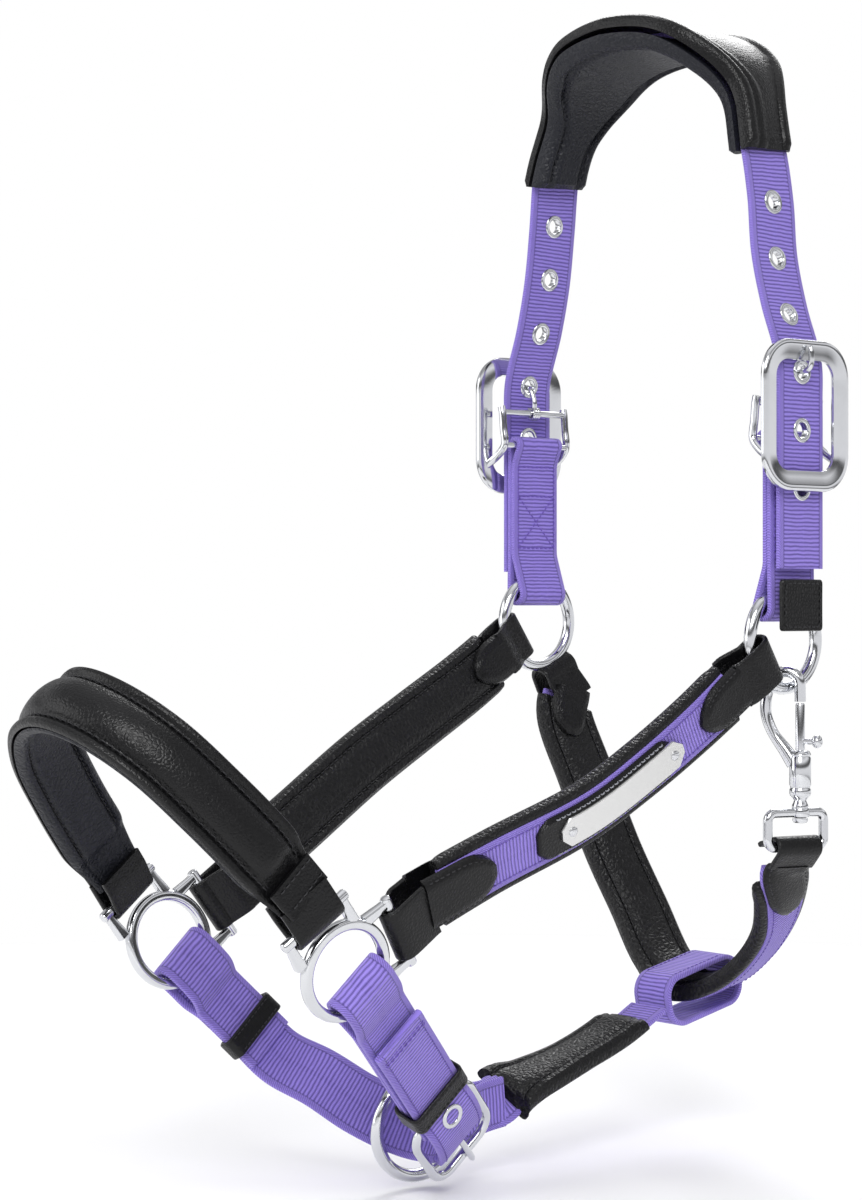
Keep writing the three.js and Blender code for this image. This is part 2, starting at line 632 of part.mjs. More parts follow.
function chinChape() {
  const eye = CHIN_BAR_RADIUS + 0.4;
  const half = WEB + 0.05;
  const { eye: rim, reach, drop } = RIM_FOLD;
  const outline = polygon([
    ...arcPoints(EYE_RIM - reach, drop, rim + WEB, 90, 270, 8),
    [EYE_RIM + 1, drop - rim - WEB], [EYE_RIM + 9, -half],
    [CHIN_BAR - 8, -half], ...arcPoints(CHIN_BAR, 0, eye + WEB, 270, 450, 8), [CHIN_BAR - 8, half],
    [EYE_RIM + 9, half], [EYE_RIM + 1, drop + rim + WEB],
  ], [
    [...arcPoints(EYE_RIM - reach, drop, rim, 90, 270, 6), ...arcPoints(EYE_RIM + 0.5, drop, rim, 270, 450, 6)],
    arcPoints(CHIN_BAR, 0, eye, 0, 330, 11),
  ]);
  add('chin_chape', chinTongueSlot(placed(prism(outline, CROWN_WIDTH - 1), chinMatrix('near'))), COLOUR.webbing);
}

// The chin strap leaves the far eye, rounds the chin and climbs through the near buckle to its tail.
const FAR_LOOK = chinLook('far');
const NEAR_LOOK = chinLook('near');
const CHIN_EYELET = 0.75;      // share of the route at the eyelet between the keeper and the tongue
const chinRoute = makeRoute(
  [
    chinPoint('far', EYE_RIM + 14, 1.2), chinPoint('far', EYE_RIM + 30, 1.2),
    chinPoint('far', EYE_RIM + 46, 1.2),
    [-152, 25, -397.5], [-139.5, 14, -408], [-128, 1, -415], chinPoint('near', 114.5, -4),
    chinPoint('near', 112, 2.2), chinPoint('near', 103, 6), chinPoint('near', 94, TAIL_N + 1.8),
    chinPoint('near', 88, TAIL_N + 1.5), chinPoint('near', 82, TAIL_N),
    chinPoint('near', 58, TAIL_N), chinPoint('near', 36, TAIL_N),
  ],
  [
    FAR_LOOK, FAR_LOOK, FAR_LOOK, [0.3, 0.85, -0.4], [0.5, 0.75, -0.4], [0.75, 0.45, -0.3],
    CHIN_ALONG.near.toArray(),
    NEAR_LOOK, NEAR_LOOK, NEAR_LOOK, NEAR_LOOK, NEAR_LOOK, NEAR_LOOK, NEAR_LOOK,
  ],
);

// The tongue runs from the buckle's inner bar through the tail to the outer bar.
const CHIN_TONGUE = { half: 1.1, width: 2.6 };
const TONGUE_ROOM = 1.3;       // clear space round the tongue where it passes through the tail

function chinTongueOutline(grow) {
  const { half } = CHIN_TONGUE;
  const length = CHIN_END - CHIN_BAR;
  const rest = CHIN_BAR_RADIUS + 0.3 + half;           // over the outer bar
  return polygon([
    ...arcPoints(0, 0, CHIN_BAR_RADIUS + 1.7 + grow, 25, 335, 12),
    [length - 1, rest - half - grow], [length + 3, rest - half - grow], [length + 3, rest + half + grow],
    [length - 2, rest + half + grow],
  ], grow ? [] : [arcPoints(0, 0, CHIN_BAR_RADIUS + 0.35, 0, 330, 11)]);
}

function chinTongue(grow = 0) {
  const solid = prism(chinTongueOutline(grow), CHIN_TONGUE.width + 2 * grow).translate(CHIN_BAR, 0, 0);
  return placed(solid, chinMatrix('near'));
}

function chinTongueSlot(geometry) {
  const slot = prism(rectangle(CHIN_BAR - 4.5, CHIN_BAR + 8, -8, 8), CHIN_TONGUE.width + 1.4);
  return cut(geometry, placed(slot, chinMatrix('near')));
}

function chinStrap() {
  const { eye, reach, drop } = RIM_FOLD;
  const fold = foldOutline({
    eye, reach, thick: WEB, upper: 0.1 - drop, lower: -0.1 - drop, upperEnd: 18, lowerEnd: 40,
  });
  const half = CROWN_WIDTH / 2 - 0.5;
  const loop = placed(prism(fold, 2 * half).translate(EYE_RIM, drop, 0), chinMatrix('far'));
  const web = strap(rectangle(-half, half, -WEB_HALF, WEB_HALF), chinRoute, 66);
  const eyelet = chinRoute(CHIN_EYELET);
  const eyeletHole = hole(eyelet.at, eyelet.out, EYELET_HOLE + 0.9, 6);
  add('chin_strap', cut(join(web, loop), chinTongue(TONGUE_ROOM), eyeletHole), COLOUR.webbing);
  add('chin_eyelet', eyeletGeometry(eyelet, WEB_HALF), COLOUR.chrome);
}
chinChape();
chinStrap();

function chinBuckle() {
  const width = 34;
  const length = CHIN_END - CHIN_BAR + 2 * CHIN_BAR_RADIUS;
  const wire = 2 * CHIN_BAR_RADIUS;
  const outline = polygon(
    roundedRectangle(length, width, 6, 3), [roundedRectangle(length - 2 * wire, width - 2 * wire, 3, 2)],
  );
  const middle = (CHIN_END + CHIN_BAR) / 2;
  // the shape is drawn with x along the strap and y across it
  const plate = prism(outline, wire).rotateX(Math.PI / 2).translate(middle, 0, 0);
  const gap = prism(rectangle(CHIN_BAR - 4, CHIN_BAR + 4, -4, 4), width - 2 * wire - 1.6);
  const bar = rod(V(CHIN_BAR, 0, -width / 2 + 2), V(CHIN_BAR, 0, width / 2 - 2), CHIN_BAR_RADIUS, 10);
  const frame = join(cut(plate, gap), bar);
  add('chin_buckle_frame', placed(frame, chinMatrix('near')), COLOUR.chrome);
  add('chin_buckle_tongue', chinTongue(), COLOUR.chrome);
}
chinBuckle();

// A leather keeper: a rectangular loop round the strap's layers.
function keeper(name, side, from, to, low, high) {
  const loose = 0.4;
  const wall = 1.5;
  const x = CROWN_WIDTH / 2 - 0.5 + loose;
  const outline = polygon(
    [
      [low - loose - wall, -x - wall], [high + loose + wall, -x - wall],
      [high + loose + wall, x + wall], [low - loose - wall, x + wall],
    ],
    [[[low - loose, -x], [high + loose, -x], [high + loose, x], [low - loose, x]]],
  );
  const turn = basis(V((from + to) / 2, 0, 0), V(0, 1, 0), V(0, 0, 1), V(1, 0, 0));
  const solid = placed(prism(outline, to - from), turn);
  add(name, placed(solid, chinMatrix(side)), COLOUR.leather);
}
keeper('chin_keeper_near', 'near', 75, 83.5, -WEB - 0.05, TAIL_N + WEB_HALF);
keeper('chin_keeper_far', 'far', 42, 50, -WEB - 0.1, WEB + 0.1);

// ---- lead ring, jowl strap and throat strap -----------------------------------------------------
const LEAD_RING = V(-123.3, 1.4, -416.1);
const LEAD_NORMAL = V(-0.094, -0.994, -0.053).normalize();
add('lead_ring', ringGeometry(LEAD_RING, LEAD_NORMAL), COLOUR.chrome);

// The jowl strap is folded on the lead ring, runs back under the jaw and ends in a loop round the
// throat strap.
const JOWL_PULL = V(32.7, -5.8, 5.2).projectOnPlane(LEAD_NORMAL).normalize();
const jowlRing = LEAD_RING.clone().addScaledVector(JOWL_PULL, RING_RADIUS);
const jowlPoint = (reach) => jowlRing.clone().addScaledVector(JOWL_PULL, reach).toArray();
const jowlRoute = makeRoute(
  [jowlPoint(12), jowlPoint(18), [-81, 1, -409.5], [-68, 0, -406.5], [-44, 0, -400.5], [-24, 0, -393.5], [-0.8, 0, -381.9]],
  [[0, 1, 0.1], [0, 0.95, -0.2], [0.1, 0.6, -0.7], [0.15, 0.2, -1], [0.15, 0, -1], [0.2, 0, -1], [0.3, 0, -1]],
);
const LOOP_MIDDLE = V(20, 0, -377);                 // of the loop round the throat strap
const LOOP_HALF = [20.5, 9.6];
const LOOP_TILT = 12;

const loopOutline = (grow) => (
  roundedRectangle(2 * (LOOP_HALF[0] + grow), 2 * (LOOP_HALF[1] + grow), 7.5 + grow, 6)
);

function jowlStrap() {
  const fold = foldOutline({
    eye: RING_WIRE + 1.2, reach: 3, thick: WEB, upper: 0.1, lower: -0.1, upperEnd: 13.5, lowerEnd: 12.5,
  });
  const half = CHEEK_WIDTH / 2;
  const onRing = foldAt(fold, CHEEK_WIDTH, jowlRing, JOWL_PULL, jowlRoute(0).out);
  const web = strap(rectangle(-half, half, -WEB_HALF, WEB_HALF), jowlRoute, 22);
  const loop = prism(polygon(loopOutline(WEB), [loopOutline(0)]), CHEEK_WIDTH).rotateX(Math.PI / 2);
  loop.rotateY(-degrees(LOOP_TILT)).translate(...LOOP_MIDDLE.toArray());
  add('jowl_webbing', join(onRing, web, loop), COLOUR.webbing);
  const pad = padSection(PAD_WIDTH, PAD_DEPTH, CHEEK_WIDTH, WEB_HALF);
  add('jowl_padding', strap(pad, jowlRoute, 16, { from: 0.34, to: 0.9 }), COLOUR.lining);
}
jowlStrap();

// The bolt snap joins the near ring to the throat strap. Its axis is upright, beside the ring's wire.
const SNAP_HOOKED = V(1.2, -70.5, -251.9);              // the ring's wire inside the hook
const SNAP_SIDE = V(0.5, -0.866, 0);                  // from the hooked wire towards the snap's axis
const SNAP_AXIS = 5.8;
const SNAP_RIVET = 1.5;
const snapMatrix = basis(SNAP_HOOKED, SNAP_SIDE, V(0, 0, 1).cross(SNAP_SIDE), V(0, 0, 1));
const EYE_ALONG = V(0.966, -0.259, 0);                // the direction of the snap eye's bars
const EYE_BACK = V(0, 0, 1).cross(EYE_ALONG);
const EYE_TOP = -299.7;
const EYE_LOW = -313;
const EYE_WIRE = 1.75;
const EYE_HALF = 12.6;                                // half the distance between the eye's sides
const EYE_SHIFT = -2;

// A round wire bent through the points, flat at both ends.
function wire(points, radius, steps, sides) {
  const extrudePath = new THREE.CatmullRomCurve3(points.map((p) => V(...p)), false, 'centripetal');
  const section = polygon(arcPoints(0, 0, radius, 0, 360 - 360 / sides, sides - 1));
  return bare(new THREE.ExtrudeGeometry(section, { steps, extrudePath, bevelEnabled: false }));
}

function snapEye() {
  const middle = V(SNAP_AXIS, 0, 0).applyMatrix4(snapMatrix);
  const at = (x, z) => {
    const point = middle.clone().addScaledVector(EYE_ALONG, x + EYE_SHIFT);
    return point.setZ(z);
  };
  const corner = 2;
  const [l, r] = [-EYE_HALF, EYE_HALF];
  const straight = (from, to) => rod(from, to, EYE_WIRE, 8);
  const bend = (x, z) => new THREE.SphereGeometry(EYE_WIRE, 8, 6).translate(...at(x, z).toArray());
  const corners = [
    [[l, EYE_TOP - corner], [l + corner, EYE_TOP]], [[r - corner, EYE_TOP], [r, EYE_TOP - corner]],
    [[r, EYE_LOW + corner], [r - corner, EYE_LOW]], [[l + corner, EYE_LOW], [l, EYE_LOW + corner]],
  ];
  const pieces = [
    straight(at(l + corner, EYE_TOP), at(r - corner, EYE_TOP)),
    straight(at(l + corner, EYE_LOW), at(r - corner, EYE_LOW)),
    straight(at(l, EYE_TOP - corner), at(l, EYE_LOW + corner)),
    straight(at(r, EYE_TOP - corner), at(r, EYE_LOW + corner)),
    ...corners.flatMap(([a, b]) => [straight(at(...a), at(...b)), bend(...a), bend(...b)]),
  ];
  const boss = rod(at(-EYE_SHIFT, EYE_TOP - 2), at(-EYE_SHIFT, EYE_TOP + 2), 3.6, 14);
  const bore = rod(at(-EYE_SHIFT, EYE_TOP - 4), at(-EYE_SHIFT, EYE_TOP + 4), SNAP_RIVET + GAP, 10);
  add('snap_eye', cut(join(...pieces, boss), bore), COLOUR.chrome);
}

const BARREL = { radius: 4.2, top: -24.6, foot: -41.6, bore: 2.4, depth: 15 };

function snapBody() {
  const axis = (z, x = 0, y = 0) => V(SNAP_AXIS + x, y, z);
  const hook = wire([
    [3.4, 0, -29], [0, 0, -24], [-5, 0, -17], [-7.6, 0, -9.5], [-7, 0, -2], [-4, 0, 4.4], [0.6, 0, 6.4], [5, 0, 4],
    [SNAP_AXIS, 0, -2.4], [SNAP_AXIS, 0, -5.2],
  ], 2.2, 26, 10);
  const top = EYE_TOP - SNAP_HOOKED.z;
  const solid = join(
    rod(axis(BARREL.foot), axis(BARREL.top), BARREL.radius, 18), hook,
    rod(axis(BARREL.foot - 2.4), axis(BARREL.foot + 0.2), 3.2, 14),
    rod(axis(top - 2.4 - 1.6), axis(BARREL.foot - 2), SNAP_RIVET, 10),
    rod(axis(top - 2 - GAP - 1.5), axis(top - 2 - GAP), 3, 12),
  );
  const bore = rod(axis(BARREL.top - BARREL.depth), axis(BARREL.top + 2), BARREL.bore, 14);
  const slot = new THREE.BoxGeometry(9, 3.2, 12).translate(SNAP_AXIS + 4.5, 0, BARREL.top - 4);
  add('snap_body', placed(cut(solid, bore, slot), snapMatrix), COLOUR.chrome);
}

function snapBolt() {
  const axis = (z, x = 0) => V(SNAP_AXIS + x, 0, z);
  const knob = new THREE.SphereGeometry(2.6, 12, 8).scale(0.8, 1, 1).translate(SNAP_AXIS + 6.6, 0, -20.5);
  const bolt = join(rod(axis(-31), axis(-5.6), 1.8, 12), rod(axis(-20.5), axis(-20.5, 6), 1.2, 8), knob);
  add('snap_bolt', placed(bolt, snapMatrix), COLOUR.chrome);
  const spring = rod(axis(BARREL.top - BARREL.depth + 0.2), axis(-31 - 0.2), 1.9, 12);
  const core = rod(axis(BARREL.top - BARREL.depth - 1), axis(-30), 1.2, 10);
  add('snap_spring', placed(cut(spring, core), snapMatrix), COLOUR.chrome);
}
snapEye();
snapBody();
snapBolt();

// The throat strap runs from the far ring, under the jaw through the jowl strap's loop, to the snap.
function throatStrap() {
  const ring = SIDES.far.ring;
  const pull = V(0.438, 0, -0.899);
  const onRing = ring.clone().addScaledVector(pull, RING_RADIUS);
  const middle = V(SNAP_AXIS, 0, 0).applyMatrix4(snapMatrix);
  const bar = middle.addScaledVector(EYE_ALONG, EYE_SHIFT).setZ(EYE_LOW);
  const leave = V(0.5, 0.55, -0.66).projectOnPlane(EYE_ALONG).normalize();
  const low = bar.clone().addScaledVector(leave, 7);
  const lower = bar.clone().addScaledVector(leave, 13);
  const route = makeRoute(
    [
      onRing.clone().addScaledVector(pull, 8).setY(70).toArray(), [12, 68, -267], [18, 61, -293], [24.6, 51, -324.5],
      [28, 38, -349], [25, 20, -370], [22, 2, -379],
      [26, -16, -375], [27, -33, -363], [23, -48, -348], [14, -59, -334],
      lower.toArray(), low.toArray(),
    ],
    [
      [0.2, 1, 0], [0.2, 1, -0.08], [0.25, 1, -0.2], [0.3, 0.9, -0.4],
      [0.3, 0.7, -0.7], [0.2, 0.35, -0.95], [0.2, 0, -1],
      [0.2, -0.4, -0.9], [0.25, -0.7, -0.7], [0.2, -0.9, -0.5],
      [0, -1, -0.45], [-0.25, -1, -0.4], [-0.25, -0.95, -0.8],
    ],
  );
  const span = { from: 0.01, to: 0.94 };
  const webSection = rectangle(-CHEEK_WIDTH / 2, CHEEK_WIDTH / 2, -WEB_HALF, WEB_HALF);
  const padding = padSection(PAD_WIDTH, PAD_DEPTH, CHEEK_WIDTH, WEB_HALF);
  add('throat_webbing', strap(webSection, route, 46, span), COLOUR.webbing);
  add('throat_padding', strap(padding, route, 46, { from: 0.045, to: 0.89 }), COLOUR.lining);
  add('throat_ring_leather', leatherFold({
    width: 17.5, eye: RING_WIRE + 1.2, reach: 2.6, at: onRing, along: pull, near: route(0), route,
    tab: { from: 0, to: 0.1 }, face: V(0, 1, 0),
  }), COLOUR.leather);
  const end = route(1);
  add('throat_eye_leather', leatherFold({
    width: 20.4, eye: EYE_WIRE + 0.6, reach: 0, at: bar, along: leave, near: end, route,
    tab: { from: 0.8, to: 1 }, high: FOLD_OUT + 0.2,
  }), COLOUR.leather);
}
throatStrap();

export default root;
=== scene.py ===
"""A padded horse headcollar in purple webbing, black leather and chromed metal.

Lengths in the helpers are millimetres in the CAD frame; meshes are scaled to metres when they are made."""
import math

import bmesh
import bpy
import numpy as np
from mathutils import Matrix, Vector


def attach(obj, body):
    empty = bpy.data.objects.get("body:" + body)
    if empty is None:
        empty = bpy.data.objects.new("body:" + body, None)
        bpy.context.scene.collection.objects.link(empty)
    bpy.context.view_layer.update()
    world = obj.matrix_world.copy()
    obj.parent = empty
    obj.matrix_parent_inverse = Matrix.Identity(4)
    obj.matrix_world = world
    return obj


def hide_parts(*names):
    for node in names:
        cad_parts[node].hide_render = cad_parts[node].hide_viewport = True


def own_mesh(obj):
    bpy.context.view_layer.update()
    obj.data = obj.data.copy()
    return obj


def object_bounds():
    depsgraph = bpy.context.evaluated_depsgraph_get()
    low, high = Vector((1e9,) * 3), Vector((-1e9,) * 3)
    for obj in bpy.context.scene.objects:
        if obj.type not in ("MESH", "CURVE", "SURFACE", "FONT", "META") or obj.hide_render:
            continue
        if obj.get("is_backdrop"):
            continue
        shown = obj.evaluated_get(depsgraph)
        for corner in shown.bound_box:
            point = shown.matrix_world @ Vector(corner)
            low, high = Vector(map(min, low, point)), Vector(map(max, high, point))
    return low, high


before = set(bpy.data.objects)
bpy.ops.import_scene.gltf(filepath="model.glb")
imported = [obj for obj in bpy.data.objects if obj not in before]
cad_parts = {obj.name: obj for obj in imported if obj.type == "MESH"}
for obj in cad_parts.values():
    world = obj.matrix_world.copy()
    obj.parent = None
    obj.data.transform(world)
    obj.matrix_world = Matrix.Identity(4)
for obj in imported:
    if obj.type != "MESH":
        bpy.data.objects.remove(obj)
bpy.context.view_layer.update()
MM = 0.001

# ---- camera --------------------------------------------------------------------------------------
CAMERA_AT = (-0.761, -0.766, -0.218)
CAMERA_LOOKS_AT = (-0.118, 0, -0.218)
CAMERA_LENS = 79.56


def make_camera():
    camera = bpy.data.objects.new("camera", bpy.data.cameras.new("camera"))
    camera.data.lens = CAMERA_LENS
    camera.location = CAMERA_AT
    aim = Vector(CAMERA_LOOKS_AT) - Vector(CAMERA_AT)
    camera.rotation_euler = aim.to_track_quat("-Z", "Y").to_euler()
    bpy.context.collection.objects.link(camera)
    bpy.context.scene.camera = camera


make_camera()

# ---- driving dimensions, as in the CAD -----------------------------------------------------------
WEB = 2.2
WEB_HALF = WEB / 2
CROWN_WIDTH = 25
CHEEK_WIDTH = 20
PAD_WIDTH = 26
PAD_DEPTH = 5.5
LEATHER = 2
GAP = 0.3
RING_RADIUS = 18.5
RING_WIRE = 2.5
FOLD_OUT = WEB_HALF + GAP
FOLD_IN = -WEB_HALF - 2 * GAP - PAD_DEPTH
STITCH_LONG = 2.3
STITCH_PITCH = 3.2
THREAD_THICK = 0.42
FINE_THREAD = 0.3
STITCH_SINK = 0.12
TORUS_STEPS = 72
TORUS_SIDES = 18
SHARP_ANGLE = math.radians(38)


def vec(*parts):
    return np.array(parts, float)


def unit(v):
    v = np.asarray(v, float)
    return v / np.linalg.norm(v)


def smoothstep(x, low, high):
    s = np.clip((x - low) / (high - low), 0, 1)
    return s * s * (3 - 2 * s)


# ---- routes --------------------------------------------------------------------------------------
class Spline:
    """A centripetal curve through points, with the same parameter as the CAD's curves."""

    def __init__(self, points):
        self.points = np.array(points, float)

    def at(self, t):
        points = self.points
        last = len(points) - 1
        place = last * min(max(t, 0), 1)
        i = min(int(place), last - 1)
        w = place - i
        p1, p2 = points[i], points[i + 1]
        p0 = points[i - 1] if i > 0 else 2 * points[0] - points[1]
        p3 = points[i + 2] if i + 2 <= last else 2 * points[last] - points[last - 1]
        d0, d1, d2 = (max(np.linalg.norm(b - a) ** 0.5, 1e-4) for a, b in ((p0, p1), (p1, p2), (p2, p3)))
        m1 = ((p1 - p0) / d0 - (p2 - p0) / (d0 + d1) + (p2 - p1) / d1) * d1
        m2 = ((p2 - p1) / d1 - (p3 - p1) / (d1 + d2) + (p3 - p2) / d2) * d1
        return p1 + w * m1 + w * w * (3 * (p2 - p1) - 2 * m1 - m2) + w ** 3 * (2 * (p1 - p2) + m1 + m2)


class Route:
    """A strap's middle line and facing, sampled finely so that it can be read by share or by length."""

    SAMPLES = 1200

    def __init__(self, points, facing):
        line, looks = Spline(points), Spline(facing)
        self.t = np.linspace(0, 1, self.SAMPLES + 1)
        self.p = np.array([line.at(t) for t in self.t])
        look = np.array([looks.at(t) for t in self.t])
        along = np.gradient(self.p, axis=0)
        along /= np.linalg.norm(along, axis=1)[:, None]
        across = np.cross(look, along)
        self.across = across / np.linalg.norm(across, axis=1)[:, None]
        self.along = along
        self.out = np.cross(along, self.across)
        steps = np.linalg.norm(np.diff(self.p, axis=0), axis=1)
        self.s = np.concatenate([[0], np.cumsum(steps)])

    def length(self):
        return self.s[-1]

    def share(self, s):
        return float(np.interp(s, self.s, self.t))

    def dist(self, t):
        return float(np.interp(t, self.t, self.s))

    def read(self, t):
        def pick(rows):
            return np.array([np.interp(t, self.t, rows[:, k]) for k in range(3)])

        return pick(self.p), unit(pick(self.along)), unit(pick(self.across)), unit(pick(self.out))

    def point(self, t, x, y):
        p, _, across, out = self.read(t)
        return p + across * x + out * y


# ---- meshes --------------------------------------------------------------------------------------
class Solid:
    """Gathers faces with a material slot and strap coordinates (length along, distance from the edge)."""

    def __init__(self):
        self.points = []
        self.marks = []
        self.faces = []
        self.slots = []

    def add(self, points, faces, marks=None, slot=0):
        base = len(self.points)
        self.points += [tuple(p) for p in points]
        self.marks += [tuple(m) for m in marks] if marks is not None else [(0.0, 0.0)] * len(points)
        self.faces += [tuple(base + i for i in f) for f in faces]
        self.slots += [slot] * len(faces)

    def grid(self, rows, marks=None, slot=0, caps=True):
        """Rows of points make a tube; each row is one closed loop."""
        rows = np.asarray(rows, float)
        count, ring = rows.shape[:2]
        faces = []
        for i in range(count - 1):
            for j in range(ring):
                k = (j + 1) % ring
                faces.append((i * ring + j, i * ring + k, (i + 1) * ring + k, (i + 1) * ring + j))
        if caps:
            faces.append(tuple(range(ring))[::-1])
            faces.append(tuple((count - 1) * ring + j for j in range(ring)))
        flat = None if marks is None else np.asarray(marks, float).reshape(-1, 2)
        self.add(rows.reshape(-1, 3), faces, flat, slot)


def make_object(name, solid, materials, smooth=True):
    mesh = bpy.data.meshes.new(name)
    mesh.from_pydata([[c * MM for c in p] for p in solid.points], [], solid.faces)
    for material in materials:
        mesh.materials.append(material)
    mesh.polygons.foreach_set("material_index", solid.slots)
    layer = mesh.uv_layers.new(name="Strap")
    marks = np.array(solid.marks, float)
    index = np.empty(len(mesh.loops), int)
    mesh.loops.foreach_get("vertex_index", index)
    layer.data.foreach_set("uv", marks[index].ravel())
    mesh.validate()
    cleaner = bmesh.new()
    cleaner.from_mesh(mesh)
    bmesh.ops.recalc_face_normals(cleaner, faces=cleaner.faces)
    cleaner.to_mesh(mesh)
    cleaner.free()
    if smooth:
        mesh.shade_smooth()
        mesh.set_sharp_from_angle(angle=SHARP_ANGLE)
    obj = bpy.data.objects.new(name, mesh)
    bpy.context.collection.objects.link(obj)
    return obj


def piece(name, solid, materials, body, nodes):
    obj = make_object(name, solid, materials)
    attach(obj, body)
    if nodes:
        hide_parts(*nodes)
    return obj


def rounded_box(half, low, high, radius, across=10):
    """A closed strap section with rounded corners and points across its faces."""
    radius = min(radius, (high - low) / 2 - 0.01)
    points = []
    for cx, cy, start in ((half - radius, low + radius, -90), (half - radius, high - radius, 0),
                          (-half + radius, high - radius, 90), (-half + radius, low + radius, 180)):
        for k in range(4):
            a = math.radians(start + 30 * k)
            points.append((cx + radius * math.cos(a), cy + radius * math.sin(a)))
        if start == 0:
            points += [(x, high) for x in np.linspace(half - radius, -half + radius, across + 2)[1:-1]]
        if start == 180:
            points += [(x, low) for x in np.linspace(-half + radius, half - radius, across + 2)[1:-1]]
    return points


def sweep(solid, route, section, start, end, step=2.0, wide=None, thick=None):
    """Sweeps a section along a route between two shares; the edge distance is kept for the weave."""
    s0, s1 = route.dist(start), route.dist(end)
    count = max(3, int(abs(s1 - s0) / step) + 1)
    half = max(abs(x) for x, _ in section)
    rows, marks = [], []
    for s in np.linspace(s0, s1, count):
        t = route.share(s)
        p, _, across, out = route.read(t)
        w = wide(t) if wide else 1.0
        k = thick(t) if thick else 1.0
        rows.append([p + across * x * w + out * y * k for x, y in section])
        marks.append([(s, (half - abs(x)) * w) for x, _ in section])
    solid.grid(rows, marks)


def tube(solid, points, radius, sides=12, slot=0, closed=False):
    """A round wire through points; radius is one number or one per point."""
    points = [np.asarray(p, float) for p in points]
    count = len(points)
    radii = [radius] * count if np.isscalar(radius) else list(radius)
    tangents = []
    for i in range(count):
        a = points[(i - 1) % count] if closed or i else points[0]
        b = points[(i + 1) % count] if closed or i < count - 1 else points[-1]
        tangents.append(unit(b - a))
    side = unit(np.cross(tangents[0], vec(0.31, 0.22, 0.93)))
    rows = []
    for p, tangent, r in zip(points, tangents, radii):
        side = unit(side - tangent * side.dot(tangent))
        other = np.cross(tangent, side)
        rows.append([p + r * (side * math.cos(a) + other * math.sin(a))
                     for a in np.linspace(0, 2 * math.pi, sides, endpoint=False)])
    if closed:
        rows.append(rows[0])
    solid.grid(rows, None, slot, caps=not closed)


def rod(solid, a, b, radius, sides=16, round_end=0.3):
    """A straight pin with softened ends."""
    a, b = np.asarray(a, float), np.asarray(b, float)
    d = unit(b - a)
    steps = [(0, round_end), (0.3, round_end * 0.35), (1, 0)]
    places = [a + d * round_end * f for f, _ in steps] + [b - d * round_end * f for f, _ in steps[::-1]]
    radii = [radius - less for _, less in steps]
    tube(solid, places, radii + radii[::-1], sides)


def torus(solid, centre, normal, radius, wire):
    """A ring of round wire, with `radius` to the wire's middle."""
    normal = unit(normal)
    u = unit(np.cross(normal, vec(0.3, 0.2, 0.9)))
    v = np.cross(normal, u)
    rows = []
    for a in np.linspace(0, 2 * math.pi, TORUS_STEPS + 1):
        d = u * math.cos(a) + v * math.sin(a)
        rows.append([centre + d * (radius + wire * math.cos(b)) + normal * wire * math.sin(b)
                     for b in np.linspace(0, 2 * math.pi, TORUS_SIDES, endpoint=False)])
    solid.grid(rows, caps=False)


def stitch(solid, a, b, out, slot, thick=THREAD_THICK):
    """One thread between two needle holes, low at both ends and proud in the middle."""
    a, b, out = (np.asarray(v, float) for v in (a, b, out))
    arch = ((0, -0.25), (0.18, 0.22), (0.5, 0.38), (0.82, 0.22), (1, -0.25))
    points = [a + (b - a) * f + out * (h - STITCH_SINK) for f, h in arch]
    tube(solid, points, thick / 1.6, 6, slot)


def stitch_row(solid, route, x, y, start, end, slot, long=STITCH_LONG, pitch=STITCH_PITCH, out_side=1,
               thick=THREAD_THICK):
    """Thread along a route, at x across and y out of its middle; x and y may follow the share."""
    s, stop = route.dist(start), route.dist(end)
    while s + long < stop:
        ts = [route.share(s), route.share(s + long)]
        ends = [route.point(t, x(t) if callable(x) else x, y(t) if callable(y) else y) for t in ts]
        _, _, _, out = route.read(ts[0])
        stitch(solid, ends[0], ends[1], out * out_side, slot, thick)
        s += pitch


def stitch_path(solid, points, outs, slot, long=2.0, pitch=2.9, thick=THREAD_THICK):
    """Thread along a free line of points."""
    points = [np.asarray(p, float) for p in points]
    steps = np.concatenate([[0], np.cumsum([np.linalg.norm(b - a) for a, b in zip(points, points[1:])])])
    rows = np.array(points)
    faces = np.array(outs, float)

    def read(s, table):
        return np.array([np.interp(s, steps, table[:, k]) for k in range(3)])

    s = 0.0
    while s + long <= steps[-1] + 1e-6:
        stitch(solid, read(s, rows), read(s + long, rows), unit(read(s, faces)), slot, thick)
        s += pitch


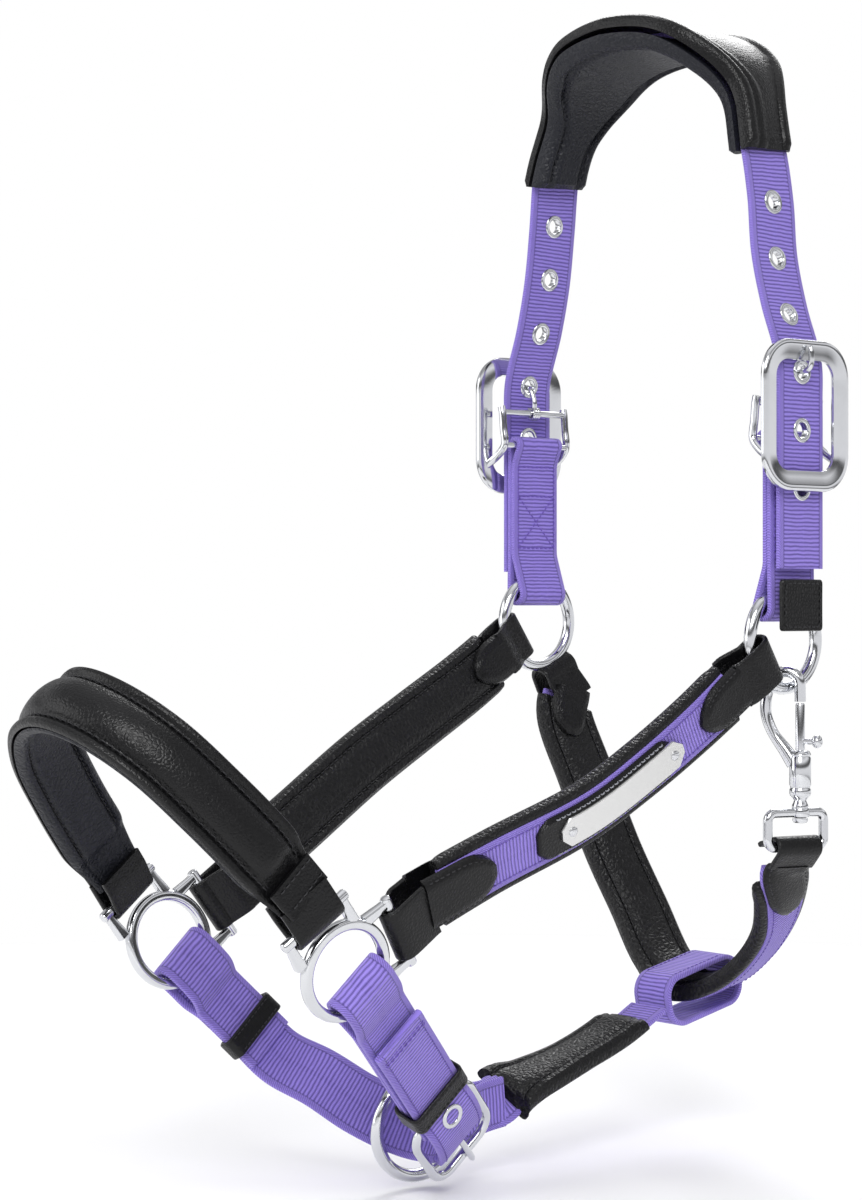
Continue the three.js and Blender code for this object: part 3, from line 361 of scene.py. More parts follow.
# ---- materials -----------------------------------------------------------------------------------
class Shader:
    """Builds one node material on the shader's own sockets."""

    def __init__(self, name, colour, roughness, metallic=0.0, specular=0.5):
        self.material = bpy.data.materials.new(name)
        self.material.use_nodes = True
        self.nodes = self.material.node_tree.nodes
        self.links = self.material.node_tree.links
        self.shader = self.nodes["Principled BSDF"]
        self.shader.inputs["Base Color"].default_value = (*colour, 1)
        self.shader.inputs["Roughness"].default_value = roughness
        self.shader.inputs["Metallic"].default_value = metallic
        self.shader.inputs["Specular IOR Level"].default_value = specular

    def node(self, kind, **inputs):
        node = self.nodes.new(kind)
        for key, value in inputs.items():
            node.inputs[key.replace("_", " ")].default_value = value
        return node

    def link(self, a, b):
        self.links.new(a, b)

    def math(self, operation, a, b=0.0, c=None):
        node = self.nodes.new("ShaderNodeMath")
        node.operation = operation
        for socket, value in zip(node.inputs, (a, b, c)):
            if value is None:
                continue
            if isinstance(value, (int, float)):
                socket.default_value = value
            else:
                self.link(value, socket)
        return node.outputs[0]

    def noise(self, scale, detail=3.0, roughness=0.55, stretch=None):
        coords = self.nodes.new("ShaderNodeTexCoord").outputs["Object"]
        if stretch:
            scaled = self.nodes.new("ShaderNodeVectorMath")
            scaled.operation = "MULTIPLY"
            scaled.inputs[1].default_value = stretch
            self.link(coords, scaled.inputs[0])
            coords = scaled.outputs[0]
        noise = self.node("ShaderNodeTexNoise", Scale=scale, Detail=detail, Roughness=roughness)
        self.link(coords, noise.inputs["Vector"])
        return noise.outputs["Fac"]

    def cells(self, scale):
        voronoi = self.node("ShaderNodeTexVoronoi", Scale=scale)
        voronoi.feature = "DISTANCE_TO_EDGE"
        self.link(self.nodes.new("ShaderNodeTexCoord").outputs["Object"], voronoi.inputs["Vector"])
        return voronoi.outputs["Distance"]

    def bump(self, height, strength, distance):
        bump = self.node("ShaderNodeBump", Strength=strength, Distance=distance)
        self.link(height, bump.inputs["Height"])
        self.link(bump.outputs["Normal"], self.shader.inputs["Normal"])

    def mix(self, share, low, high):
        mix = self.nodes.new("ShaderNodeMix")
        mix.data_type = "RGBA"
        mix.inputs["A"].default_value = (*low, 1)
        mix.inputs["B"].default_value = (*high, 1)
        self.link(share, mix.inputs["Factor"])
        self.link(mix.outputs["Result"], self.shader.inputs["Base Color"])

    def vary(self, socket, share, low, high):
        ramp = self.node("ShaderNodeMapRange")
        ramp.inputs["To Min"].default_value = low
        ramp.inputs["To Max"].default_value = high
        self.link(share, ramp.inputs["Value"])
        self.link(ramp.outputs["Result"], self.shader.inputs[socket])


RIB_PITCH = 1.55
YARN_PITCH = 0.62
TWILL_PITCH = 1.0
SELVEDGE = 2.5


def webbing_material(name, colour, dark):
    """Ribbed woven nylon: ribs across the strap, a groove and a finer twill beside each edge. The low parts
    of the weave are painted darker, as painted shade in the grooves.
    """
    s = Shader(name, colour, 0.62, specular=0.35)
    uv = s.nodes.new("ShaderNodeUVMap")
    uv.uv_map = "Strap"
    split = s.nodes.new("ShaderNodeSeparateXYZ")
    s.link(uv.outputs["UV"], split.inputs[0])
    along, edge = split.outputs["X"], split.outputs["Y"]
    wobble = s.math("MULTIPLY", s.noise(160.0, 2.0), 0.9)
    ribs = s.math("SINE", s.math("MULTIPLY", s.math("ADD", along, wobble), 2 * math.pi / RIB_PITCH))
    ribs = s.math("MULTIPLY_ADD", ribs, 0.5, 0.5)
    ribs = s.math("POWER", ribs, 0.6)
    yarn = s.math("SINE", s.math("MULTIPLY", edge, 2 * math.pi / YARN_PITCH))
    body = s.math("MULTIPLY_ADD", yarn, 0.09, ribs)
    slant = s.math("ADD", along, s.math("MULTIPLY", edge, 1.1))
    twill = s.math("SINE", s.math("MULTIPLY", slant, 2 * math.pi / TWILL_PITCH))
    twill = s.math("MULTIPLY_ADD", twill, 0.3, 0.62)
    in_edge = s.math("LESS_THAN", edge, SELVEDGE)
    inner = s.math("MULTIPLY", body, s.math("SUBTRACT", 1.0, in_edge))
    height = s.math("ADD", inner, s.math("MULTIPLY", twill, in_edge))
    groove = s.math("LESS_THAN", s.math("ABSOLUTE", s.math("SUBTRACT", edge, SELVEDGE)), 0.28)
    height = s.math("SUBTRACT", height, s.math("MULTIPLY", groove, 0.5))
    fuzz = s.noise(2600.0, 2.0)
    height = s.math("MULTIPLY_ADD", fuzz, 0.16, height)
    # Painted shade: the colour runs from `dark` in the low parts of the weave up to the yarn colour on the
    # ribs, so grooves and the edge groove are painted darker; the fuzz noise mixed in is the yarn's own
    # random tone.
    s.mix(s.math("MINIMUM", s.math("MAXIMUM", height, 0.0), 1.0), dark, colour)
    s.bump(height, 0.85, 0.00042)
    s.vary("Roughness", fuzz, 0.52, 0.74)
    s.shader.inputs["Sheen Weight"].default_value = 0.35
    s.shader.inputs["Sheen Roughness"].default_value = 0.4
    s.shader.inputs["Sheen Tint"].default_value = (0.8, 0.74, 1.0, 1)
    return s.material


def leather_material(name, colour, roughness, grain=700.0, depth=0.00012, wrinkle=0.0):
    """Fine-grained leather; wrinkle adds the soft folds of padding."""
    s = Shader(name, colour, roughness, specular=0.3)
    cells = s.math("MINIMUM", s.math("MULTIPLY", s.cells(grain), 3.2), 1.0)
    pores = s.noise(grain * 2.2, 2.0)
    height = s.math("MULTIPLY_ADD", pores, 0.35, cells)
    if wrinkle:
        folds = s.noise(150.0, 4.0, 0.62)
        height = s.math("MULTIPLY_ADD", folds, wrinkle, height)
    s.bump(height, 0.7, depth)
    s.vary("Roughness", s.noise(60.0, 3.0), roughness - 0.07, roughness + 0.1)
    tone = s.noise(35.0, 3.0)
    s.mix(tone, tuple(c * 0.75 for c in colour), tuple(c * 1.3 for c in colour))
    return s.material


def metal_material(name, colour, roughness, brushed=False):
    """Chrome plate with faint polishing marks, or a brushed plate."""
    s = Shader(name, colour, roughness, metallic=1.0)
    stretch = (2600.0, 60.0, 60.0) if brushed else None
    marks = s.noise(1.0 if brushed else 240.0, 3.0, 0.6, stretch)
    s.vary("Roughness", marks, roughness * 0.75, roughness * 1.4)
    s.bump(s.noise(90.0, 2.0), 0.04, 0.0004)
    return s.material


# The second colour is the painted shade laid into the webbing's grooves.
WEBBING = webbing_material("webbing", (0.33, 0.245, 0.78), (0.095, 0.062, 0.30))
LEATHER_BLACK = leather_material("leather", (0.004, 0.004, 0.0045), 0.3)
LINING = leather_material("lining", (0.012, 0.013, 0.018), 0.4, 480.0, 0.0003, 0.9)
PADDING = leather_material("padding", (0.0045, 0.0045, 0.005), 0.36, 480.0, 0.0003, 0.9)
CHROME = metal_material("chrome", (0.70, 0.71, 0.73), 0.12)
BRIGHT = metal_material("brushed_plate", (0.74, 0.74, 0.73), 0.3, True)
THREAD = leather_material("thread_black", (0.03, 0.03, 0.033), 0.5, 2500.0, 0.0001)
THREAD_PALE = leather_material("thread_grey", (0.30, 0.31, 0.34), 0.6, 2500.0, 0.0001)
THREAD_PURPLE = leather_material("thread_purple", (0.16, 0.10, 0.45), 0.6, 2500.0, 0.0001)


# ---- shared shapes -------------------------------------------------------------------------------
def plane_point(axes, p, across=0.0):
    origin, x, y, z = axes
    return origin + x * p[0] + y * p[1] + z * across


def ribbon(solid, path, axes, width, thick, closed=False, count=6, round_edge=0.7):
    """A flat strap bent along a line drawn in a plane; width runs out of that plane."""
    path = [np.asarray(p, float) for p in path]
    last = len(path)
    rows, marks = [], []
    s = 0.0
    half = width / 2
    section = rounded_box(half, -thick / 2, thick / 2, min(round_edge, thick / 2 - 0.05), count)
    order = list(range(last)) + ([0] if closed else [])
    for n, i in enumerate(order):
        before = path[(i - 1) % last] if closed or i else path[0]
        after = path[(i + 1) % last] if closed or i < last - 1 else path[-1]
        d = unit(after - before)
        normal = np.array([-d[1], d[0]])
        if n:
            s += np.linalg.norm(path[i] - path[order[n - 1]])
        rows.append([plane_point(axes, path[i] + normal * y, x) for x, y in section])
        marks.append([(s, half - abs(x)) for x, y in section])
    solid.grid(rows, marks, caps=not closed)


def arc(cx, cy, radius, start, end, count=12):
    return [(cx + radius * math.cos(math.radians(a)), cy + radius * math.sin(math.radians(a)))
            for a in np.linspace(start, end, count)]


def line2(a, b, count=8):
    return [tuple(np.asarray(a, float) + (np.asarray(b, float) - np.asarray(a, float)) * f)
            for f in np.linspace(0, 1, count)]


def smooth_path(points, step=1.2):
    """A smooth line through a few points, in two or three dimensions."""
    curve = Spline([tuple(p) + (0,) * (3 - len(p)) for p in points])
    raw = np.array([curve.at(t) for t in np.linspace(0, 1, 40 * len(points))])
    s = np.concatenate([[0], np.cumsum(np.linalg.norm(np.diff(raw, axis=0), axis=1))])
    stops = np.linspace(0, s[-1], max(4, int(s[-1] / step)))
    out = np.array([[np.interp(v, s, raw[:, k]) for k in range(3)] for v in stops])
    return [p[:len(points[0])] for p in out]


def rounded_rectangle(width, height, radius, steps=8):
    x, y = width / 2 - radius, height / 2 - radius
    points = []
    for cx, cy, start in ((x, -y, -90), (x, y, 0), (-x, y, 90), (-x, -y, 180)):
        points += arc(cx, cy, radius, start, start + 90, steps)
    return points


def loop_sweep(solid, path, axes, section):
    """Sweeps a section round a closed plane line; section x is outward, y is out of the plane."""
    path = [np.asarray(p, float) for p in path]
    rows = []
    last = len(path)
    for n in range(last + 1):
        i = n % last
        d = unit(path[(i + 1) % last] - path[i - 1])
        outward = np.array([d[1], -d[0]])
        rows.append([plane_point(axes, path[i] + outward * x, y) for x, y in section])
    solid.grid(rows, caps=False)


def thinned(path, least=0.35):
    """Drops points that lie nearer than `least` to the one kept before them."""
    result = [path[0]]
    for p in path[1:]:
        if np.linalg.norm(np.subtract(p, result[-1])) > least:
            result.append(p)
    return result


def dense(points, step=1.0):
    """Adds points between far ones on a closed line."""
    result = []
    for a, b in zip(points, points[1:] + points[:1]):
        a, b = np.asarray(a, float), np.asarray(b, float)
        count = max(1, int(np.linalg.norm(b - a) / step))
        result += [tuple(a + (b - a) * k / count) for k in range(count)]
    return result


TAB_POINT = 15.0
TAB_BLUNT = 0.6
TAB_RIM = 1.6
TAB_PUFF = 0.9
TAB_INSET = 1.7
TAB_STEP = 1.1
TAB_ACROSS = 18


def tab_shape(s, length, half):
    """Half-width of a leather tab: full until near its tip, then rounded to a blunt point."""
    left = length - s
    if left >= TAB_POINT:
        return half
    f = max(left, 0) / TAB_POINT
    return half * (1 - (1 - f) ** (1 / TAB_BLUNT * 1.35)) ** TAB_BLUNT


def puffed_tab(solid, route, start, tip, half, base, thick, face=1):
    """A leather tab laid on a strap: a flat sewn rim round a raised middle, rounded at its tip.
    `start` and `tip` are shares of the route; the tab runs from one to the other, on the outer face (1)
    or on the face towards the horse (-1)."""
    s0, s1 = route.dist(start), route.dist(tip)
    length = abs(s1 - s0)
    sign = 1 if s1 > s0 else -1
    straight = np.arange(0, length - TAB_POINT, TAB_STEP)
    rounded = length - TAB_POINT * (np.linspace(1, 0, 16) ** 1.6)
    rows, marks = [], []
    for s in list(straight) + list(rounded):
        w = max(tab_shape(s, length, half), 0.35)
        t = route.share(s0 + sign * s)
        p, _, side, out = route.read(t)
        out = out * face
        ring = []
        xs = np.linspace(-1, 1, TAB_ACROSS)
        for x in xs:
            inset = min((1 - abs(x)) * w, max(length - s, 0.0) + 0.02)
            raised = smoothstep(inset, TAB_RIM * 0.7, TAB_RIM * 2.1) * TAB_PUFF
            edge = min(1.0, (inset / 0.8)) ** 0.5
            ring.append(p + side * x * w + out * (base + 0.15 + (thick - 0.15) * edge + raised))
        for x in xs[::-1]:
            ring.append(p + side * x * w + out * base)
        rows.append(ring)
        marks.append([(s, 3.0)] * len(ring))
    solid.grid(rows, marks)


def tab_stitches(solid, route, start, tip, half, base, thick, slot):
    """Thread that follows the tab's edge round its tip."""
    s0, s1 = route.dist(start), route.dist(tip)
    length = abs(s1 - s0)
    sign = 1 if s1 > s0 else -1
    inner_length = length - TAB_INSET
    left, right, outs = [], [], []
    straight = np.arange(2.0, inner_length - TAB_POINT, 1.0)
    rounded = inner_length - TAB_POINT * (np.linspace(1, 0, 14) ** 1.6)
    for s in list(straight) + list(rounded):
        w = max(tab_shape(s, inner_length, half - TAB_INSET), 0.0)
        t = route.share(s0 + sign * s)
        p, _, side, out = route.read(t)
        left.append(p - side * w + out * (base + thick + 0.1))
        right.append(p + side * w + out * (base + thick + 0.1))
        outs.append(out)
    stitch_path(solid, left + right[::-1], outs + outs[::-1], slot, long=1.7, pitch=2.5, thick=0.4)


# ---- crown ---------------------------------------------------------------------------------------
def mirrored(rows):
    return [(x, -y, z) for x, y, z in rows]


CROWN_HALF = [
    (1, -78, -206), (1, -78, -178), (1, -78, -142), (1, -77.5, -126), (1, -70, -104), (1, -65, -84),
    (1.5, -62.5, -62), (0.5, -59, -40), (-1, -53, -21), (-2, -43, -6), (-2, -27, 4.5),
]
CROWN_FACING = [
    (0, -1, 0), (0, -1, 0), (0, -1, 0), (0, -1, 0.1), (0, -1, 0.25), (0, -1, 0.12),
    (0, -1, 0.13), (0, -0.96, 0.28), (0, -0.85, 0.52), (0, -0.62, 0.78), (0, -0.3, 0.95),
]
CROWN = Route(CROWN_HALF + [(-2, 0, 8.5)] + mirrored(CROWN_HALF[::-1]),
              CROWN_FACING + [(0, 0, 1)] + mirrored(CROWN_FACING[::-1]))
PAD_START = 0.31
EYELET_PITCH = 22.3
EYELET_HOLE = 3
NEAR_EYELET_TOP = -63.8
FAR_EYELET_TOP = -59.8


def crown_share(z, far):
    """The share of the crown route at a height on one side."""
    shares = CROWN.t[:480]
    heights = CROWN.p[:480, 2]
    t = float(np.interp(z, heights, shares))
    return 1 - t if far else t


NEAR_EYELETS = [crown_share(NEAR_EYELET_TOP - EYELET_PITCH * i, False) for i in range(6)]
FAR_EYELETS = [crown_share(FAR_EYELET_TOP - EYELET_PITCH * i, True) for i in range(6)]


def cut_holes(obj, places, radius):
    """Drills round holes through a strap at places (middle, direction)."""
    drills = Solid()
    for middle, direction in places:
        tube(drills, [middle - direction * 6, middle + direction * 6], radius, 20)
    cutter = make_object(obj.name + "_drill", drills, [], smooth=False)
    modifier = obj.modifiers.new("holes", "BOOLEAN")
    modifier.operation = "DIFFERENCE"
    modifier.solver = "EXACT"
    modifier.object = cutter
    bpy.context.view_layer.update()
    graph = bpy.context.evaluated_depsgraph_get()
    mesh = bpy.data.meshes.new_from_object(obj.evaluated_get(graph))
    obj.modifiers.clear()
    obj.data = mesh
    bpy.data.objects.remove(cutter)
    mesh.set_sharp_from_angle(angle=SHARP_ANGLE)
    return obj


def crown_wide(t):
    """The webbing is out of sight inside the pad, so there it draws in from the pad's open edges."""
    inside = 0.5 - abs(t - 0.5)
    return 1 - 0.45 * float(smoothstep(inside, 0.313, 0.33))


def crown_strap():
    solid = Solid()
    section = rounded_box(CROWN_WIDTH / 2, -WEB_HALF, WEB_HALF, 0.8)
    sweep(solid, CROWN, section, 0, 1, 1.8, wide=crown_wide)
    for side in (-1, 1):
        for start, end in ((0.002, 0.33), (0.67, 0.998)):
            stitch_row(solid, CROWN, side * 9.9, WEB_HALF, start, end, 1, 1.7, 2.3, thick=FINE_THREAD)
    obj = make_object("crown_strap_webbing", solid, [WEBBING, THREAD_PURPLE])
    cut_holes(obj, [CROWN.read(t)[::3] for t in NEAR_EYELETS + FAR_EYELETS], EYELET_HOLE + 0.7)
    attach(obj, "headcollar")
    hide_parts("crown_strap")


def eyelet(solid, middle, along, out):
    """A pressed eyelet: a barrel with a rounded flange on each face."""
    side = np.cross(along, out)
    profile = []
    for sign in (-1, 1):
        face = sign * (WEB_HALF + 0.15)
        rounded = [(EYELET_HOLE + 0.9 + 0.95 * math.cos(a), face + sign * 0.55 * math.sin(a))
                   for a in np.linspace(0, math.pi, 9)]
        profile += rounded if sign < 0 else rounded[::-1]
    profile += [(EYELET_HOLE + 0.5, WEB_HALF - 0.2), (EYELET_HOLE + 0.5, -WEB_HALF + 0.2)]
    rows = []
    for a in np.linspace(0, 2 * math.pi, 33):
        d = along * math.cos(a) + side * math.sin(a)
        rows.append([middle + d * r + out * y for r, y in profile])
    solid.grid(rows, caps=False)


def crown_eyelets():
    for name, shares, count in (("near", NEAR_EYELETS, 5), ("far", FAR_EYELETS, 4)):
        solid = Solid()
        for t in shares:
            middle, along, _, out = CROWN.read(t)
            eyelet(solid, middle, along, out)
        nodes = [f"{name}_eyelet_{i + 1}" for i in range(count)]
        piece(f"{name}_eyelets", solid, [CHROME], "headcollar", nodes)


PAD_EDGE = (          # distance from the poll along the crown as a share, front edge x, rear edge x
    (0.0, -30.5, 26.0), (0.3, -27.0, 26.5), (0.48, -20.0, 25.5), (0.62, -12.0, 21.5),
    (0.72, -10.5, 17.0), (0.85, -12.5, 14.2), (1.0, -13.5, 13.5),
)


def pad_edges(t):
    u = abs((t - 0.5) / (0.5 - PAD_START))
    table = np.array(PAD_EDGE)
    near_u = [min(max(u + d, 0), 1) for d in np.linspace(-0.09, 0.09, 9)]

    def exact(k):
        return float(np.interp(u, table[:, 0], table[:, k]))

    def smooth(k):
        return np.mean([np.interp(v, table[:, 0], table[:, k]) for v in near_u])

    return (smooth(1), smooth(2)) if 0.02 < u < 0.97 else (exact(1), exact(2))


def tailward(across):
    """1 where a strap's across direction runs towards the tail, otherwise -1."""
    return 1.0 if across[0] > 0 else -1.0


def hump(x, centre, half, height):
    return height * math.sqrt(max(0.0, 1 - ((x - centre) / half) ** 2)) if abs(x - centre) < half else 0.0


PAD_ACROSS = 46
PAD_STEP = 2.2
PAD_END_ROUND = 2.0


def pad_rows(solid, height, floor, grow):
    """Rows of the crown pad: `height` gives its outer face from the distances to its two edges."""
    s0, s1 = CROWN.dist(PAD_START), CROWN.dist(1 - PAD_START)
    rows, marks = [], []
    for s in np.linspace(s0, s1, int((s1 - s0) / PAD_STEP) + 1):
        t = CROWN.share(s)
        front, rear = pad_edges(t)
        front, rear = front - grow, rear + grow
        p, _, across, out = CROWN.read(t)
        centre = p[0]
        direction = tailward(across)
        taper = min(1.0, (0.55 + min(s - s0, s1 - s) / PAD_END_ROUND * 0.45))
        xs = np.linspace(0, 1, PAD_ACROSS)
        top = [p + across * direction * (front + (rear - front) * x - centre)
               + out * height((rear - front) * x, (rear - front) * (1 - x), taper) for x in xs]
        bottom = [p + across * direction * (front + (rear - front) * x - centre)
                  + out * floor((rear - front) * x, (rear - front) * (1 - x), taper) for x in xs[::-1]]
        rows.append(top + bottom)
        marks.append([(s, 5.0)] * (2 * PAD_ACROSS))
    solid.grid(rows, marks)


def crown_pad_cover():
    outer = Solid()

    def face(d, e, taper):
        edge = min(1.0, min(d, e) / 1.4) ** 0.5
        dome = 1.3 * math.sin(math.pi * d / (d + e))
        rolls = hump(d, 3.4, 3.4, 2.7) + hump(d, 9.4, 2.7, 1.2) + hump(e, 2.6, 2.6, 1.5)
        y = WEB_HALF + 0.4 + edge * (1.7 + dome) + rolls
        return WEB_HALF + 0.4 + (y - WEB_HALF - 0.4) * taper

    pad_rows(outer, face, lambda d, e, taper: WEB_HALF + 0.3 - 0.9 * hump(d, 2.0, 2.4, 1.0), 0.0)
    first, last = PAD_START + 0.004, 1 - PAD_START - 0.004
    for offset, rear, y in ((6.6, False, 3.1), (5.6, True, 3.2)):
        stitch_row(outer, CROWN, pad_line(offset, rear), WEB_HALF + y - 0.9, first, last, 1, 2.1, 2.9)
    pad_end_stitches(outer)
    looks = [LEATHER_BLACK, THREAD]
    piece("crown_pad_cover", outer, looks, "headcollar", ["crown_pad_outer"])


def pad_end_stitches(outer):
    """Two rows of thread across each end of the pad."""
    for end in (PAD_START, 1 - PAD_START):
        sign = 1 if end < 0.5 else -1
        for back in (2.6, 6.2):
            s = CROWN.dist(end) + sign * back
            t = CROWN.share(s)
            front, rear = pad_edges(t)
            p, _, across, out = CROWN.read(t)
            direction = tailward(across)
            points = [p + across * direction * (x - p[0]) + out * (WEB_HALF + 3.0)
                      for x in np.linspace(front + 1.5, rear - 1.5, 12)]
            stitch_path(outer, points, [out] * 12, 1)


def crown_pad_lining():
    lining = Solid()

    def under(d, e, taper):
        full = 5.0 * (min(1.0, min(d, e) / 9.0) ** 0.55)
        roll = hump(d, 2.6, 2.6, 2.2) + hump(e, 2.4, 2.4, 1.8)
        return -WEB_HALF - 0.4 - taper * (0.9 + full + roll - 1.2 * math.exp(-((d - 6.2) / 1.1) ** 2)
                                          - 1.2 * math.exp(-((e - 5.8) / 1.1) ** 2))

    pad_rows(lining, lambda d, e, taper: -WEB_HALF - 0.3, under, 0.4)
    piece("crown_pad_lining_leather", lining, [LINING], "headcollar", ["crown_pad_lining"])


def pad_line(offset, rear):
    """The across-coordinate of a line kept at a distance from the pad's front or rear edge."""
    def x(t):
        front, back = pad_edges(t)
        p, _, across, _ = CROWN.read(t)
        return tailward(across) * ((back - offset if rear else front + offset) - p[0])

    return x


crown_strap()
crown_eyelets()
crown_pad_cover()
crown_pad_lining()


# ---- crown buckles, chapes and rings --------------------------------------------------------------
SIDES = {
    "near": {"y": -1, "ring": vec(0, -70.5, -233.4), "frame_z": -147.5},
    "far": {"y": 1, "ring": vec(0, 70.5, -227.4), "frame_z": -143.5},
}
CROWN_FACE = 78
FRAME_WIDTH = 48
FRAME_HEIGHT = 58
FRAME_RIM = 8
FRAME_THICK = 3
FRAME_IN = CROWN_FACE + WEB_HALF + 1.2
BAR_RADIUS = 1.4
TONGUE_BAR = 5
STRAP_BAR = -9
TONGUE_BAR_IN = CROWN_FACE - 5.4
STRAP_BAR_IN = CROWN_FACE - 6.8
RAIL_X = 17.6
CHAPE_BOX_X = 10.2
CHAPE_BOX_HEIGHT = 22


def buckle_axes(side):
    """Origin, across, up and out of a crown buckle's face."""
    return vec(0, 0, side["frame_z"]), vec(1, 0, 0), vec(0, 0, 1), vec(0, side["y"], 0)


def crown_buckle_frame(name, side):
    solid = Solid()
    axes = buckle_axes(side)
    half = FRAME_RIM / 2
    path = dense(rounded_rectangle(FRAME_WIDTH - FRAME_RIM, FRAME_HEIGHT - FRAME_RIM, 10.5, 12), 2.5)
    face = FRAME_IN + FRAME_THICK
    section = [
        (-half, FRAME_IN + 0.9), (-half + 0.5, FRAME_IN), (half - 1.2, FRAME_IN),
        (half - 0.2, FRAME_IN + 0.7), (half, FRAME_IN + 1.6), (half - 0.3, face - 0.5),
        (half - 1.2, face + 0.1), (half - 2.6, face), (-half + 2.6, face - 0.9),
        (-half + 1.1, face - 1.2), (-half + 0.2, face - 1.4),
    ]
    loop_sweep(solid, path, axes, section)

    def place(x, z, y):
        return plane_point(axes, (x, z), y)

    for x in (-RAIL_X, RAIL_X):
        bend = math.copysign(1.0, x)
        rail = smooth_path([
            place(x, TONGUE_BAR + 2.2, TONGUE_BAR_IN + 0.6), place(x, TONGUE_BAR, TONGUE_BAR_IN),
            place(x, -2, (TONGUE_BAR_IN + STRAP_BAR_IN) / 2), place(x, STRAP_BAR, STRAP_BAR_IN),
            place(x + bend * 0.4, STRAP_BAR - 4, STRAP_BAR_IN + 3.5),
            place(x + bend, STRAP_BAR - 8.2, FRAME_IN + 1),
        ])
        tube(solid, rail, BAR_RADIUS + 0.25, 14)
    for z, y in ((TONGUE_BAR, TONGUE_BAR_IN), (STRAP_BAR, STRAP_BAR_IN)):
        rod(solid, place(-RAIL_X - 0.4, z, y), place(RAIL_X + 0.4, z, y), BAR_RADIUS, 16)
    piece(f"{name}_buckle", solid, [CHROME], f"{name}_buckle", [f"{name}_buckle_frame"])


def tongue_shape(solid, at, rise, run, tip, bar_radius):
    """A tongue: a collar rolled on its bar and a pin that rises to lie on the frame.
    `at` places (along, out, across)."""
    collar = bar_radius + 0.35 + 0.65
    for x in np.linspace(-1.3, 1.3, 3):
        ring = [at(collar * math.cos(a), collar * math.sin(a), x)
                for a in np.radians(np.linspace(35, 325, 22))]
        tube(solid, ring, 0.68, 8)
    line = [(collar - 0.2, -0.5), (4.4, -0.6), (7.6, 0.35), (10.6, 2.1), (run - 1.2, rise - 1.2),
            (run + 0.8, rise), (tip - 1.5, rise + 0.02), (tip + 0.6, rise)]
    points = smooth_path([at(x, y, 0) for x, y in line], 0.8)
    radii = [1.15] * len(points)
    radii[-1], radii[-2], radii[-3] = 0.45, 0.85, 1.05
    tube(solid, points, radii, 14)


def crown_tongue(name, side):
    solid = Solid()
    axes = buckle_axes(side)

    def at(x, y, across):
        return plane_point(axes, (across, TONGUE_BAR + x), TONGUE_BAR_IN + y)

    rise = FRAME_IN + FRAME_THICK + 0.4 + 1.15 - TONGUE_BAR_IN
    tongue_shape(solid, at, rise, 14, 21, BAR_RADIUS)
    piece(f"{name}_tongue_pin", solid, [CHROME], f"{name}_tongue", [f"{name}_buckle_tongue"])


def crown_chape(name, side):
    """A doubled strap: its loop holds the strap bar at the top and the ring at the foot."""
    solid = Solid()
    top = side["frame_z"] + STRAP_BAR
    ring_z = side["ring"][2] + RING_RADIUS
    ring_y = abs(side["ring"][1])
    outer = CROWN_FACE - WEB_HALF - 1.2 - GAP - WEB_HALF
    inner = outer - WEB
    eye = BAR_RADIUS + 0.4 + WEB_HALF
    pocket = RING_WIRE + 0.5 + WEB_HALF
    path = (
        line2((outer, ring_z + 10), (outer, top - 8), 26)
        + arc(STRAP_BAR_IN, top, eye, 12, 172, 12)
        + line2((inner, top - 8), (inner, ring_z + 10), 26)
        + arc(ring_y, ring_z - 6.4, pocket, 180, 360, 14)
    )
    path = [p for i, p in enumerate(path) if i == 0 or np.linalg.norm(np.subtract(p, path[i - 1])) > 0.25]
    path = smooth_closed(path)
    axes = (vec(0, 0, 0), vec(0, side["y"], 0), vec(0, 0, 1), vec(1, 0, 0))
    ribbon(solid, path, axes, CROWN_WIDTH, WEB, closed=True)
    low, high = ring_z + 13, top - 9
    middle = low + CHAPE_BOX_HEIGHT
    x = CHAPE_BOX_X
    box = [((-x, low), (-x, high)), ((x, low), (x, high))]
    box += [((-x, z), (x, z)) for z in (low, middle, high)]
    box += [((-x, low), (x, middle)), ((x, low), (-x, middle))]
    for sign, depth in ((1, outer + WEB_HALF), (-1, inner - WEB_HALF)):
        face = vec(0, side["y"] * sign, 0)
        y = side["y"] * depth
        for (x0, z0), (x1, z1) in box:
            stitch_path(solid, [vec(x0, y, z0), vec(x1, y, z1)], [face, face], 1, 1.8, 2.5)
    looks = [WEBBING, THREAD_PURPLE]
    piece(f"{name}_chape_webbing", solid, looks, "headcollar", [f"{name}_chape"])


SMOOTH_STEP = 1.1


def smooth_closed(points, passes=2):
    """Evens out and softens a closed plane line."""
    points = np.array(points, float)
    closed = np.vstack([points, points[:1]])
    s = np.concatenate([[0], np.cumsum(np.linalg.norm(np.diff(closed, axis=0), axis=1))])
    stops = np.linspace(0, s[-1], int(s[-1] / SMOOTH_STEP), endpoint=False)
    even = np.array([[np.interp(v, s, closed[:, k]) for k in range(2)] for v in stops])
    for _ in range(passes):
        even = (np.roll(even, 1, axis=0) + 2 * even + np.roll(even, -1, axis=0)) / 4
    return [tuple(p) for p in even]


def ring_piece(name, body, centre, normal):
    solid = Solid()
    torus(solid, np.asarray(centre, float), normal, RING_RADIUS, RING_WIRE)
    piece(f"{name}_metal", solid, [CHROME], body, [name])


for side_name, side_data in SIDES.items():
    crown_buckle_frame(side_name, side_data)
    crown_tongue(side_name, side_data)
    crown_chape(side_name, side_data)
    ring_piece(f"{side_name}_ring", f"{side_name}_ring", side_data["ring"], vec(0, 1, 0))


# ---- square fittings ------------------------------------------------------------------------------
FIT_HOLE = 14.5
FIT_RIM = 4
FIT_THICK = 4
FIT_BAR = 24.6
ARM_HALF = 1.7
NOSE_ANGLE = 127
CHEEK_ANGLE = 33
FIT_TILT = math.radians(11)


def eye_centre(y):
    return vec(-200.8, 53.2 * y, -344.5)


